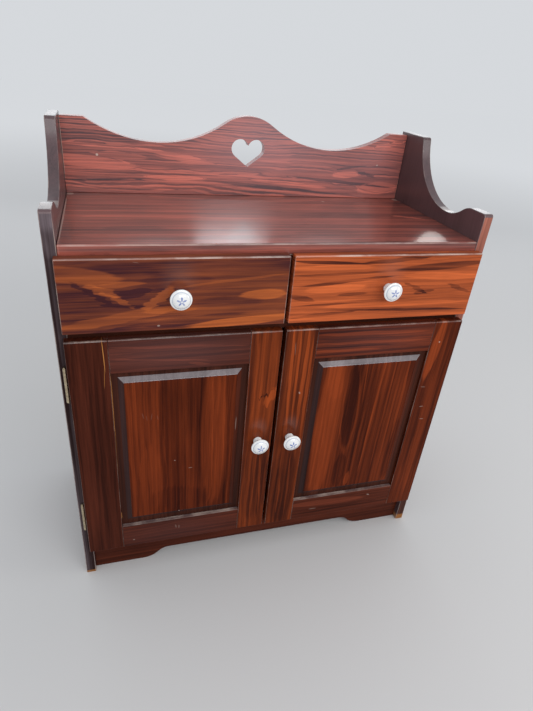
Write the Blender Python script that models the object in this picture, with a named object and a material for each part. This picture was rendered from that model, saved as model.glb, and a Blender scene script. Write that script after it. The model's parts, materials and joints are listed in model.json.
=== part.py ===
"""Play cupboard in stained pine: a dry-sink top with a heart splash-back, two drawers and two doors.

Metres, +Z up, +X to the right of someone facing the doors. The doors face -Y. The origin is on the
floor, under the middle of the whole object with its knobs.
"""

import math

import bmesh
import bpy
from mathutils import Matrix, Vector

MM = 0.001

# Cupboard
WIDTH = 715 * MM
DEPTH = 322 * MM
BOARD = 17.5 * MM
JOINT = 0.3 * MM
ARRIS = 1.1 * MM
FINE_ARRIS = 0.6 * MM
BACK_THICKNESS = 4 * MM
COUNTER_HEIGHT = 680 * MM
SHELF_TOP = 551.5 * MM
FLOOR_TOP = 97.5 * MM
BACK_LOW = 62 * MM
BACK_HIGH = 700 * MM

# Side panels: a low nose, an ogee down to a dip, and one round sweep up to the tall back
SIDE_BACK_HEIGHT = 815 * MM
NOSE_HEIGHT = 727.5 * MM
NOSE_CORNER = 5 * MM
NOSE_LENGTH = 38 * MM
NOSE_ROLL = 40 * MM
DIP_DISTANCE = 108 * MM
DIP_HEIGHT = 703.7 * MM
SWEEP_RADIUS = 130 * MM
HORN_CORNER = 7 * MM

# Splash-back: flat ends, a trough each side, and a round crest over the heart
SPLASH_FACE = 300 * MM
SPLASH_END_HEIGHT = 810 * MM
SPLASH_SHOULDER = 300 * MM
TROUGH_OFFSET = 172 * MM
TROUGH_HEIGHT = 772.8 * MM
CREST_HEIGHT = 826.5 * MM
CREST_RADIUS = 80 * MM
HEART_HEIGHT = 769 * MM
HEART_LOBE = 17 * MM
HEART_SPREAD = 16 * MM
HEART_DROP = 33.5 * MM

# Apron under the doors
APRON_RECESS = 11.5 * MM
APRON_THICKNESS = 15 * MM
APRON_CLEARANCE = 1.5 * MM
ARCH_HEIGHT = 24 * MM
ARCH_HALF_WIDTH = 193 * MM
ARCH_OGEE = 52 * MM
ARCH_ROLL = 30 * MM

# Fronts, laid over the case
FRONT_GAP = 0.8 * MM
FRONT_BOARD = 15.2 * MM
FRONT_INSET = 12.1 * MM
DRAWER_LOW = 549.5 * MM
DRAWER_HIGH = 665.3 * MM
DRAWER_CENTRE_GAP = 7 * MM
DOOR_LOW = 77.6 * MM
DOOR_HIGH = 536.7 * MM
DOOR_CENTRE_GAP = 6.8 * MM

# Door frames and their raised panels; depths are behind the door's front face
HINGE_STILES = {"left": 62.5 * MM, "right": 56 * MM}
LATCH_STILES = {"left": 53.5 * MM, "right": 57.5 * MM}
TOP_RAIL = 60 * MM
BOTTOM_RAIL = 56.5 * MM
GROOVE_DEPTH = 7 * MM
TONGUE = 6.5 * MM
TONGUE_FRONT = 6.4 * MM
TONGUE_BACK = 11.4 * MM
PANEL_MARGIN = 11 * MM
PANEL_BEVEL = 8 * MM
BEVEL_TOP = 1.7 * MM
FIELD_DEPTH = 1 * MM
STEP_RUN = 0.7 * MM
STEP_EASE = 0.25 * MM
GROOVE_SLACK = 4 * MM

# Drawer boxes
DRAWER_BOARD = 12 * MM
DRAWER_SIDE_GAP = 1 * MM
DRAWER_BOX_LOW = 551.8 * MM
DRAWER_BOX_HIGH = 648 * MM
DRAWER_BOX_BACK = 297 * MM
DRAWER_BASE = 4 * MM
DRAWER_BASE_HEIGHT = 9 * MM
DRAWER_GROOVE = 5 * MM

# Knobs, turned on the Y axis, and their screws
KNOB_RADIUS = 16.5 * MM
KNOB_LENGTH = 27 * MM
KNOB_DOME = 7 * MM
KNOB_DOME_STEPS = 6
KNOB_BASE = 8.2 * MM
KNOB_BASE_LENGTH = 2.2 * MM
KNOB_NECK = 6 * MM
KNOB_NECK_DISTANCE = 7.5 * MM
KNOB_COVE = 4.5 * MM
KNOB_FLARE = 8.5 * MM
KNOB_BORE = 2.4 * MM
KNOB_BORE_LENGTH = 14 * MM
KNOB_STEPS = 28
KNOB_SCREW = 2 * MM
KNOB_SCREW_POINT = 1 * MM
KNOB_SCREW_HEAD = 4.5 * MM
KNOB_SCREW_CROWN = 3.6 * MM
KNOB_SCREW_HEAD_HEIGHT = 2.4 * MM
SCREW_HOLE = 2.5 * MM
SCREW_STEPS = 14
DOOR_KNOB_HEIGHT = 307.5 * MM

# Butt hinges: five knuckles on a loose pin
HINGE_LENGTH = 63.5 * MM
HINGE_INSET = 83 * MM
HINGE_AXIS_IN = 8.2 * MM
HINGE_AXIS_OUT = 3.3 * MM
KNUCKLE_RADIUS = 3.2 * MM
KNUCKLES = 5
PIN_STEPS = 16
KNUCKLE_BORE = 1.7 * MM
PIN_RADIUS = 1.45 * MM
PIN_CAP = 2.6 * MM
PIN_CAP_TIP = 1.8 * MM
PIN_CAP_HEIGHT = 1 * MM
LEAF_THICKNESS = 1.1 * MM
CASE_LEAF_BACK = 0.5 * MM
DOOR_LEAF_FRONT = 2 * MM
LEAF_NECK = 1.2 * MM
LEAF_REACH = 9 * MM

# Magnetic catches under the shelf, with strike plates on the doors
CATCH_OFFSET = 55 * MM
CATCH_WIDTH = 46 * MM
CATCH_HEIGHT = 13 * MM
CATCH_DEPTH = 16 * MM
CATCH_FACE = 1 * MM
STRIKE_WIDTH = 38 * MM
STRIKE_THICKNESS = 1.2 * MM
STRIKE_HEIGHT = 11 * MM

HALF = WIDTH / 2
OVERHANG = FRONT_GAP + FRONT_BOARD + JOINT + KNOB_LENGTH
CASE_FRONT = (OVERHANG - DEPTH) / 2
BOARD_BACK = DEPTH - BACK_THICKNESS - JOINT
FACE = -FRONT_GAP - FRONT_BOARD
INNER = HALF - BOARD
FIT = INNER - JOINT
HINGE_AXIS_X = HALF - HINGE_AXIS_IN
HINGE_HEIGHTS = {"lower": DOOR_LOW + HINGE_INSET, "upper": DOOR_HIGH - HINGE_INSET}
SIDES = {"left": -1, "right": 1}

# Colour, roughness and metallic value of each kind of piece
DARK_PINE = ((0.085, 0.024, 0.017), 0.34, 0.0)
RED_PINE = ((0.155, 0.036, 0.022), 0.32, 0.0)
AMBER_PINE = ((0.225, 0.062, 0.026), 0.32, 0.0)
RAW_PINE = ((0.52, 0.34, 0.18), 0.62, 0.0)
PLYWOOD = ((0.36, 0.23, 0.13), 0.7, 0.0)
PORCELAIN = ((0.86, 0.87, 0.87), 0.12, 0.0)
BRASS = ((0.60, 0.44, 0.20), 0.32, 1.0)
STEEL = ((0.56, 0.56, 0.57), 0.35, 1.0)
BROWN_PLASTIC = ((0.12, 0.06, 0.035), 0.45, 0.0)


# ---------------------------------------------------------------- scene and nodes


def clear_scene():
    for old in list(bpy.data.objects):
        bpy.data.objects.remove(old, do_unlink=True)


def surface(name, finish):
    """A Principled material of the piece's own."""
    colour, roughness, metallic = finish
    material = bpy.data.materials.new(name)
    material.use_nodes = True
    shader = material.node_tree.nodes["Principled BSDF"]
    shader.inputs["Base Color"].default_value = (*colour, 1.0)
    shader.inputs["Roughness"].default_value = roughness
    shader.inputs["Metallic"].default_value = metallic
    return material


def stand(name, solid, parent=None, origin=None):
    """Makes an object of a bmesh built in place, with its origin at the solid's middle or as given."""
    corners = [vertex.co for vertex in solid.verts]
    low = Vector([min(corner[axis] for corner in corners) for axis in range(3)])
    high = Vector([max(corner[axis] for corner in corners) for axis in range(3)])
    middle = Vector(origin) if origin else (low + high) / 2
    solid.transform(Matrix.Translation(-middle))
    mesh = bpy.data.meshes.new(name)
    solid.to_mesh(mesh)
    solid.free()
    piece = bpy.data.objects.new(name, mesh)
    bpy.context.scene.collection.objects.link(piece)
    piece.location = middle
    if parent:
        piece.parent = parent
        piece.location = middle - parent.location
    return piece


def piece(name, solid, finish, parent=None, arris=ARRIS, segments=2, origin=None):
    """A finished sub-part: its solid, its material and its eased edges."""
    made = stand(name, solid, parent, origin)
    made.data.materials.append(surface(name, finish))
    if arris:
        rounding = made.modifiers.new("eased edges", "BEVEL")
        rounding.width = arris
        rounding.segments = segments
        rounding.limit_method = "ANGLE"
        rounding.angle_limit = math.radians(50)
    return made


def round_piece(name, solid, finish, parent=None, origin=None):
    """A turned sub-part, shaded smooth."""
    made = piece(name, solid, finish, parent, arris=None, origin=origin)
    shade_round(made)
    return made


def shade_round(made):
    made.data.shade_smooth()
    made.data.set_sharp_from_angle(angle=math.radians(35))


def shape(target, name, solid, operation):
    """Cuts a helper solid out of the target, or joins it on."""
    helper = stand(name, solid)
    helper.hide_render = True
    helper.display_type = "WIRE"
    change = target.modifiers.new(name, "BOOLEAN")
    change.operation = operation
    change.object = helper
    change.solver = "EXACT"


def pivot(name, location):
    """The empty that a moving body hangs from, on its joint's axis."""
    empty = bpy.data.objects.new(name, None)
    empty.empty_display_size = 0.04
    empty.location = location
    bpy.context.scene.collection.objects.link(empty)
    return empty


# ---------------------------------------------------------------- solids


def prism(outline, axis, start, end):
    """A flat outline square to the axis, drawn out from start to end."""
    along = "XYZ".index(axis)
    across = [index for index in range(3) if index != along]
    solid = bmesh.new()
    rings = []
    for level in (start, end):
        ring = []
        for point in outline:
            corner = [level] * 3
            corner[across[0]], corner[across[1]] = point
            ring.append(solid.verts.new(corner))
        solid.faces.new(ring)
        rings.append(ring)
    for index in range(len(outline)):
        after = (index + 1) % len(outline)
        solid.faces.new((rings[0][index], rings[0][after], rings[1][after], rings[1][index]))
    bmesh.ops.recalc_face_normals(solid, faces=solid.faces)
    return solid


def block(x_range, y_range, z_range):
    """A box. Its Y range is measured behind the front of the case."""
    left, right = sorted(x_range)
    low, high = z_range
    outline = [(left, low), (right, low), (right, high), (left, high)]
    return prism(outline, "Y", CASE_FRONT + y_range[0], CASE_FRONT + y_range[1])


def merge(*solids):
    """Several bmeshes as one, for helpers that act together."""
    whole = solids[0]
    for other in solids[1:]:
        mesh = bpy.data.meshes.new("joined")
        other.to_mesh(mesh)
        other.free()
        whole.from_mesh(mesh)
        bpy.data.meshes.remove(mesh)
    return whole


def loft(rings):
    """Closed solid through rings of equal point counts, capped at both ends. A ring of one is a tip."""
    solid = bmesh.new()
    made = [[solid.verts.new(point) for point in ring] for ring in rings]
    for ring in (made[0], made[-1]):
        if len(ring) > 1:
            solid.faces.new(ring)
    for before, after in zip(made, made[1:]):
        count = max(len(before), len(after))
        for index in range(count):
            following = (index + 1) % count
            corners = []
            for ring, place in ((before, index), (before, following), (after, following), (after, index)):
                corner = ring[place % len(ring)]
                if corner not in corners:
                    corners.append(corner)
            solid.faces.new(corners)
    bmesh.ops.recalc_face_normals(solid, faces=solid.faces)
    return solid


def turned(profile, centre, steps):
    """Turns (radius, distance) points about the Y axis through the centre; distance runs towards -Y."""
    rings = []
    for radius, distance in profile:
        count = steps if radius > 0 else 1
        ring = []
        for index in range(count):
            angle = 2 * math.pi * index / count
            offset = Vector((radius * math.cos(angle), -distance, radius * math.sin(angle)))
            ring.append(Vector(centre) + offset)
        rings.append(ring)
    return loft(rings)


def circle(centre, radius, steps=20):
    angles = [2 * math.pi * index / steps for index in range(steps)]
    return [(centre[0] + radius * math.cos(a), centre[1] + radius * math.sin(a)) for a in angles]


def arc(centre, radius, first, last, steps):
    """Points on an arc, from one angle to another in degrees."""
    angles = [math.radians(first + (last - first) * index / steps) for index in range(steps + 1)]
    return [(centre[0] + radius * math.cos(a), centre[1] + radius * math.sin(a)) for a in angles]


def ogee(start, end, first_radius, steps=7):
    """Two arcs that leave the start level and reach the end level."""
    run = abs(end[0] - start[0])
    rise = abs(end[1] - start[1])
    both_radii = (run**2 + rise**2) / (2 * rise)
    turn = math.asin(run / both_radii)
    across = math.copysign(1, end[0] - start[0])
    up = math.copysign(1, end[1] - start[1])
    points = []
    for index in range(steps + 1):
        angle = turn * index / steps
        swing = first_radius * math.sin(angle)
        lift = first_radius * (1 - math.cos(angle))
        points.append((start[0] + across * swing, start[1] + up * lift))
    last_radius = both_radii - first_radius
    for index in range(steps - 1, -1, -1):
        angle = turn * index / steps
        swing = last_radius * math.sin(angle)
        lift = last_radius * (1 - math.cos(angle))
        points.append((end[0] - across * swing, end[1] - up * lift))
    return points


def mirrored(half):
    """A left-right symmetrical outline from its right half, listed from the centre outwards."""
    left = [(-x, z) for x, z in reversed(half) if x > 0]
    return left + list(half)


# ---------------------------------------------------------------- carcass


def side_outline():
    """Side panel in (Y behind the front, Z)."""
    dip = (DIP_DISTANCE, DIP_HEIGHT)
    sweep_centre = (DIP_DISTANCE, DIP_HEIGHT + SWEEP_RADIUS)
    rise = sweep_centre[1] - SIDE_BACK_HEIGHT
    lean = math.degrees(math.acos((rise + HORN_CORNER) / (SWEEP_RADIUS + HORN_CORNER)))
    reach = SWEEP_RADIUS + HORN_CORNER
    horn_centre = (
        sweep_centre[0] + reach * math.sin(math.radians(lean)),
        sweep_centre[1] - reach * math.cos(math.radians(lean)),
    )
    outline = [(0, 0)]
    outline += arc((NOSE_CORNER, NOSE_HEIGHT - NOSE_CORNER), NOSE_CORNER, 180, 90, 3)
    outline += ogee((NOSE_LENGTH, NOSE_HEIGHT), dip, NOSE_ROLL)
    outline += arc(sweep_centre, SWEEP_RADIUS, -90, -90 + lean, 14)[1:]
    outline += arc(horn_centre, HORN_CORNER, 90 + lean, 90, 5)[1:]
    outline += [(DEPTH, SIDE_BACK_HEIGHT), (DEPTH, 0)]
    return [(CASE_FRONT + y, z) for y, z in outline]


def side_panel(side):
    outer = SIDES[side] * HALF
    inner = SIDES[side] * INNER
    panel = piece(f"side_panel_{side}", prism(side_outline(), "X", outer, inner), DARK_PINE)
    pockets = []
    for centre in HINGE_HEIGHTS.values():
        x_range = (SIDES[side] * (HINGE_AXIS_X + LEAF_NECK + JOINT), SIDES[side] * (INNER - BOARD))
        reach = HINGE_LENGTH / 2 + JOINT
        y_range = (-BOARD, CASE_LEAF_BACK + JOINT)
        pockets.append(block(x_range, y_range, (centre - reach, centre + reach)))
    shape(panel, f"hinge_pockets_{side}", merge(*pockets), "DIFFERENCE")


def splash_back():
    trough = (TROUGH_OFFSET, TROUGH_HEIGHT)
    run = SPLASH_SHOULDER - TROUGH_OFFSET
    rise = SPLASH_END_HEIGHT - TROUGH_HEIGHT
    radius = (run**2 + rise**2) / (2 * rise)
    turn = math.degrees(math.asin(run / radius))
    half = ogee((0, CREST_HEIGHT), trough, CREST_RADIUS, 8)
    half += arc((trough[0], trough[1] + radius), radius, -90, -90 + turn, 9)[1:]
    half += [(FIT, SPLASH_END_HEIGHT), (FIT, COUNTER_HEIGHT + JOINT)]
    front = CASE_FRONT + SPLASH_FACE
    board = prism(mirrored(half), "Y", front, front + BOARD)
    panel = piece("splash_back", board, RED_PINE, arris=FINE_ARRIS)
    shape(panel, "heart_cutter", heart(front - BOARD, front + 2 * BOARD), "DIFFERENCE")


def heart(start, end):
    """Two round lobes, joined to the point by their tangents."""
    away = math.hypot(HEART_SPREAD, HEART_DROP)
    to_tip = math.degrees(math.atan2(-HEART_DROP, -HEART_SPREAD))
    tangent = to_tip + math.degrees(math.acos(HEART_LOBE / away))
    cleft = math.degrees(math.acos(-HEART_SPREAD / HEART_LOBE))
    half = arc((HEART_SPREAD, HEART_HEIGHT), HEART_LOBE, cleft, tangent, 16)
    half[0] = (0, half[0][1])
    half.append((0, HEART_HEIGHT - HEART_DROP))
    left = [(-x, z) for x, z in reversed(half[1:-1])]
    return prism(half + left, "Y", start, end)


def apron():
    edge = FLOOR_TOP - BOARD - JOINT
    start = (ARCH_HALF_WIDTH, ARCH_HEIGHT)
    foot = (ARCH_HALF_WIDTH + ARCH_OGEE, APRON_CLEARANCE)
    half = [(0, ARCH_HEIGHT)]
    half += ogee(start, foot, ARCH_ROLL, 5)
    half += [(FIT, APRON_CLEARANCE), (FIT, edge)]
    front = CASE_FRONT + APRON_RECESS
    board = prism(mirrored(half), "Y", front, front + APRON_THICKNESS)
    piece("apron", board, DARK_PINE, arris=FINE_ARRIS)


def level_board(name, top, finish, arris):
    """A board that spans the case between the side panels."""
    board = block((-FIT, FIT), (0, BOARD_BACK), (top - BOARD, top))
    piece(name, board, finish, arris=arris)


def carcass():
    for side in SIDES:
        side_panel(side)
    level_board("counter_top", COUNTER_HEIGHT, RED_PINE, ARRIS)
    level_board("middle_shelf", SHELF_TOP, DARK_PINE, FINE_ARRIS)
    level_board("floor_board", FLOOR_TOP, DARK_PINE, FINE_ARRIS)
    splash_back()
    apron()
    divider = block(
        (-BOARD / 2, BOARD / 2),
        (0, BOARD_BACK),
        (SHELF_TOP + JOINT, COUNTER_HEIGHT - BOARD - JOINT),
    )
    piece("drawer_divider", divider, DARK_PINE, arris=FINE_ARRIS)
    back = block((-FIT, FIT), (DEPTH - BACK_THICKNESS, DEPTH), (BACK_LOW, BACK_HIGH))
    piece("back_panel", back, PLYWOOD, arris=None)


# ---------------------------------------------------------------- knobs


def knob_profile():
    """Blind bore, round foot, narrow neck and a shallow domed head: (radius, distance from the board)."""
    rim = KNOB_LENGTH - KNOB_DOME
    neck = (KNOB_NECK_DISTANCE, KNOB_NECK)
    cove = ogee(neck, (KNOB_BASE_LENGTH, KNOB_BASE), KNOB_COVE, 3)
    flare = ogee(neck, (rim, KNOB_RADIUS), KNOB_FLARE, 4)
    outside = [(0, KNOB_BASE)] + cove[::-1] + flare[1:]
    profile = [(0, KNOB_BORE_LENGTH), (KNOB_BORE, KNOB_BORE_LENGTH), (KNOB_BORE, 0)]
    profile += [(radius, distance) for distance, radius in outside]
    for index in range(1, KNOB_DOME_STEPS):
        angle = math.pi / 2 * index / KNOB_DOME_STEPS
        profile.append((KNOB_RADIUS * math.cos(angle), rim + KNOB_DOME * math.sin(angle)))
    profile.append((0, KNOB_LENGTH))
    return profile


def knob(name, board, x, z, parent):
    """A porcelain knob on a front board, with its screw through the board from behind."""
    seat = (x, CASE_FRONT + FACE - JOINT, z)
    solid = turned(knob_profile(), seat, KNOB_STEPS)
    round_piece(f"{name}_knob", solid, PORCELAIN, parent, origin=seat)
    board_back = (x, CASE_FRONT - FRONT_GAP, z)
    hole = [(0, -BOARD), (SCREW_HOLE, -BOARD), (SCREW_HOLE, 2 * BOARD), (0, 2 * BOARD)]
    cutter = turned(hole, board_back, SCREW_STEPS)
    shape(board, f"{name}_screw_hole", cutter, "DIFFERENCE")
    crown = -JOINT - KNOB_SCREW_HEAD_HEIGHT
    tip = FRONT_BOARD + KNOB_BORE_LENGTH - KNOB_SCREW_POINT
    screw = [
        (0, crown),
        (KNOB_SCREW_CROWN, crown),
        (KNOB_SCREW_HEAD, -JOINT - KNOB_SCREW_HEAD_HEIGHT / 2),
        (KNOB_SCREW_HEAD, -JOINT),
        (KNOB_SCREW, -JOINT),
        (KNOB_SCREW, tip - KNOB_SCREW_POINT),
        (0, tip),
    ]
    solid = turned(screw, board_back, SCREW_STEPS)
    round_piece(f"{name}_knob_screw", solid, STEEL, parent, origin=board_back)


# ---------------------------------------------------------------- doors and hinges


def frame_member(name, x_range, z_range, groove_on, tenons, finish, parent):
    """A stile or rail, grooved for the panel; a rail also has a stub tenon at each end."""
    low_x, high_x = sorted(x_range)
    low_z, high_z = z_range
    near = FACE
    far = FACE + FRONT_BOARD
    if tenons:
        tongue = [FACE + TONGUE_FRONT, FACE + TONGUE_BACK]
        outline = [(low_x, near), (high_x, near), (high_x, tongue[0]), (high_x + TONGUE, tongue[0])]
        outline += [(high_x + TONGUE, tongue[1]), (high_x, tongue[1]), (high_x, far), (low_x, far)]
        outline += [(low_x, tongue[1]), (low_x - TONGUE, tongue[1])]
        outline += [(low_x - TONGUE, tongue[0]), (low_x, tongue[0])]
    else:
        outline = [(low_x, near), (high_x, near), (high_x, far), (low_x, far)]
    outline = [(x, CASE_FRONT + y) for x, y in outline]
    member = piece(name, prism(outline, "Z", low_z, high_z), finish, parent, FINE_ARRIS)
    groove_y = (FACE + TONGUE_FRONT - JOINT, FACE + TONGUE_BACK + JOINT)
    groove_x = (low_x - BOARD, high_x + BOARD)
    groove_z = (low_z - BOARD, high_z + BOARD)
    if groove_on == "top":
        groove_z = (high_z - GROOVE_DEPTH, high_z + GROOVE_SLACK)
    elif groove_on == "bottom":
        groove_z = (low_z - GROOVE_SLACK, low_z + GROOVE_DEPTH)
    elif groove_on == "right":
        groove_x = (high_x - GROOVE_DEPTH, high_x + GROOVE_SLACK)
    else:
        groove_x = (low_x - GROOVE_SLACK, low_x + GROOVE_DEPTH)
    shape(member, f"{name}_groove", block(groove_x, groove_y, groove_z), "DIFFERENCE")
    return member


def raised_panel(name, x_range, z_range, finish, parent):
    """A fielded panel: tongue, flat margin, steep bevel, small step and raised field."""
    low_x, high_x = sorted(x_range)
    low_z, high_z = z_range
    bevel_end = PANEL_MARGIN + PANEL_BEVEL
    steps = [
        (-TONGUE, TONGUE_BACK),
        (-TONGUE, TONGUE_FRONT),
        (PANEL_MARGIN, TONGUE_FRONT),
        (bevel_end, BEVEL_TOP),
        (bevel_end + STEP_RUN / 2, FIELD_DEPTH + STEP_EASE),
        (bevel_end + STEP_RUN, FIELD_DEPTH),
    ]
    rings = []
    for inset, depth in steps:
        y = CASE_FRONT + FACE + depth
        left, right = low_x + inset, high_x - inset
        low, high = low_z + inset, high_z - inset
        rings.append([Vector((left, y, low)), Vector((right, y, low)), Vector((right, y, high))])
        rings[-1].append(Vector((left, y, high)))
    piece(name, loft(rings), finish, parent, arris=None)


def door(side):
    sign = SIDES[side]
    name = f"door_{side}"
    axis_y = CASE_FRONT - HINGE_AXIS_OUT
    hang = pivot(f"{name}_axis", (sign * HINGE_AXIS_X, axis_y, (DOOR_LOW + DOOR_HIGH) / 2))
    outer = sign * (HALF - FRONT_INSET)
    meeting = sign * DOOR_CENTRE_GAP / 2
    hinge_inner = outer - sign * HINGE_STILES[side]
    latch_inner = meeting + sign * LATCH_STILES[side]
    tall = (DOOR_LOW, DOOR_HIGH)
    inward, outward = {"left": ("right", "left"), "right": ("left", "right")}[side]
    hinge_stile = frame_member(
        f"{name}_hinge_stile", (outer, hinge_inner), tall, inward, False, DARK_PINE, hang
    )
    latch_stile = frame_member(
        f"{name}_latch_stile", (meeting, latch_inner), tall, outward, False, RED_PINE, hang
    )
    between = (hinge_inner - sign * JOINT, latch_inner + sign * JOINT)
    rails = {
        "top": ((DOOR_HIGH - TOP_RAIL, DOOR_HIGH), "bottom"),
        "bottom": ((DOOR_LOW, DOOR_LOW + BOTTOM_RAIL), "top"),
    }
    for place, (heights, groove_on) in rails.items():
        frame_member(f"{name}_{place}_rail", between, heights, groove_on, True, DARK_PINE, hang)
    opening = (DOOR_LOW + BOTTOM_RAIL, DOOR_HIGH - TOP_RAIL)
    panel_x = (hinge_inner, latch_inner)
    raised_panel(f"{name}_panel", panel_x, opening, RED_PINE, hang)
    knob(name, latch_stile, (meeting + latch_inner) / 2, DOOR_KNOB_HEIGHT, hang)
    pockets = []
    for place, centre in HINGE_HEIGHTS.items():
        hinge(side, place, centre, hang)
        reach = HINGE_LENGTH / 2 + JOINT
        x_range = (outer + sign * BOARD, sign * (HINGE_AXIS_X - LEAF_REACH - JOINT))
        y_range = (-DOOR_LEAF_FRONT - JOINT, BOARD)
        pockets.append(block(x_range, y_range, (centre - reach, centre + reach)))
    shape(hinge_stile, f"{name}_hinge_pockets", merge(*pockets), "DIFFERENCE")
    strike(side, hang)


def knuckle_spans(centre, first):
    """Heights of every other knuckle, starting from the first or the second."""
    pitch = HINGE_LENGTH / KNUCKLES
    low = centre - HINGE_LENGTH / 2
    spans = []
    for index in range(first, KNUCKLES, 2):
        bottom = low + index * pitch + (JOINT / 2 if index > 0 else 0)
        top = low + (index + 1) * pitch - (JOINT / 2 if index < KNUCKLES - 1 else 0)
        spans.append((bottom, top))
    return spans


def hinge_leaf(name, side, centre, first, front, finish, parent):
    """A leaf with its own knuckles rolled on the pin's axis; front is the plate's distance out."""
    sign = SIDES[side]
    axis = (sign * HINGE_AXIS_X, CASE_FRONT - HINGE_AXIS_OUT)
    neck = HINGE_AXIS_X + LEAF_NECK
    shoulder = HINGE_AXIS_X - KNUCKLE_RADIUS - JOINT
    tip = HINGE_AXIS_X - LEAF_REACH
    spans = knuckle_spans(centre, first)
    outline = [(tip, centre - HINGE_LENGTH / 2)]
    for bottom, top in spans:
        if bottom > centre - HINGE_LENGTH / 2:
            outline.append((shoulder, bottom))
        outline += [(neck, bottom), (neck, top)]
        if top < centre + HINGE_LENGTH / 2:
            outline.append((shoulder, top))
    if spans[0][0] > centre - HINGE_LENGTH / 2:
        outline.insert(1, (shoulder, centre - HINGE_LENGTH / 2))
        outline.append((shoulder, centre + HINGE_LENGTH / 2))
    outline.append((tip, centre + HINGE_LENGTH / 2))
    outline = [(sign * x, z) for x, z in outline]
    plate = prism(outline, "Y", CASE_FRONT - front, CASE_FRONT - front + LEAF_THICKNESS)
    leaf = piece(name, plate, finish, parent, arris=None)
    rolls = [prism(circle(axis, KNUCKLE_RADIUS), "Z", *span) for span in spans]
    shape(leaf, f"{name}_knuckles", merge(*rolls), "UNION")
    reach = HINGE_LENGTH
    bore = prism(circle(axis, KNUCKLE_BORE, PIN_STEPS), "Z", centre - reach, centre + reach)
    shape(leaf, f"{name}_bore", bore, "DIFFERENCE")
    shade_round(leaf)


def hinge(side, place, centre, door_pivot):
    name = f"hinge_{side}_{place}"
    case_front = LEAF_THICKNESS - CASE_LEAF_BACK
    hinge_leaf(f"{name}_case_leaf", side, centre, 0, case_front, BRASS, None)
    hinge_leaf(f"{name}_door_leaf", side, centre, 1, DOOR_LEAF_FRONT, BRASS, door_pivot)
    axis = (SIDES[side] * HINGE_AXIS_X, CASE_FRONT - HINGE_AXIS_OUT)
    low = centre - HINGE_LENGTH / 2 - JOINT
    high = centre + HINGE_LENGTH / 2 + JOINT
    levels = [
        (PIN_CAP_TIP, low - PIN_CAP_HEIGHT),
        (PIN_CAP, low - PIN_CAP_HEIGHT / 2),
        (PIN_CAP, low),
        (PIN_RADIUS, low),
        (PIN_RADIUS, high),
        (PIN_CAP, high),
        (PIN_CAP, high + PIN_CAP_HEIGHT / 2),
        (PIN_CAP_TIP, high + PIN_CAP_HEIGHT),
    ]
    rings = [[Vector((x, y, z)) for x, y in circle(axis, radius, PIN_STEPS)] for radius, z in levels]
    round_piece(f"{name}_pin", loft(rings), BRASS)


# ---------------------------------------------------------------- catches


def catch(side):
    """A magnetic catch screwed up under the shelf."""
    sign = SIDES[side]
    x_range = (sign * CATCH_OFFSET - CATCH_WIDTH / 2, sign * CATCH_OFFSET + CATCH_WIDTH / 2)
    top = SHELF_TOP - BOARD - JOINT
    body = block(x_range, (CATCH_FACE, CATCH_FACE + CATCH_DEPTH), (top - CATCH_HEIGHT, top))
    piece(f"catch_{side}", body, BROWN_PLASTIC, arris=FINE_ARRIS)


def strike(side, parent):
    """The steel plate on the door's back that the catch holds."""
    sign = SIDES[side]
    x_range = (sign * CATCH_OFFSET - STRIKE_WIDTH / 2, sign * CATCH_OFFSET + STRIKE_WIDTH / 2)
    middle = SHELF_TOP - BOARD - JOINT - CATCH_HEIGHT / 2
    z_range = (middle - STRIKE_HEIGHT / 2, middle + STRIKE_HEIGHT / 2)
    back = -FRONT_GAP + JOINT
    plate = block(x_range, (back, back + STRIKE_THICKNESS), z_range)
    piece(f"door_{side}_strike", plate, STEEL, parent, arris=None)


# ---------------------------------------------------------------- drawers


def drawer_side(name, outer, inner, parent):
    """A drawer side, grooved along its inner face for the drawer's base."""
    inward = math.copysign(1, inner - outer)
    groove = inner - inward * DRAWER_GROOVE
    low = DRAWER_BOX_LOW + DRAWER_BASE_HEIGHT - JOINT
    high = DRAWER_BOX_LOW + DRAWER_BASE_HEIGHT + DRAWER_BASE + JOINT
    outline = [
        (outer, DRAWER_BOX_LOW),
        (inner, DRAWER_BOX_LOW),
        (inner, low),
        (groove, low),
        (groove, high),
        (inner, high),
        (inner, DRAWER_BOX_HIGH),
        (outer, DRAWER_BOX_HIGH),
    ]
    start = CASE_FRONT - FRONT_GAP + JOINT
    board = prism(outline, "Y", start, CASE_FRONT + DRAWER_BOX_BACK)
    piece(name, board, RAW_PINE, parent, arris=FINE_ARRIS, segments=1)


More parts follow.
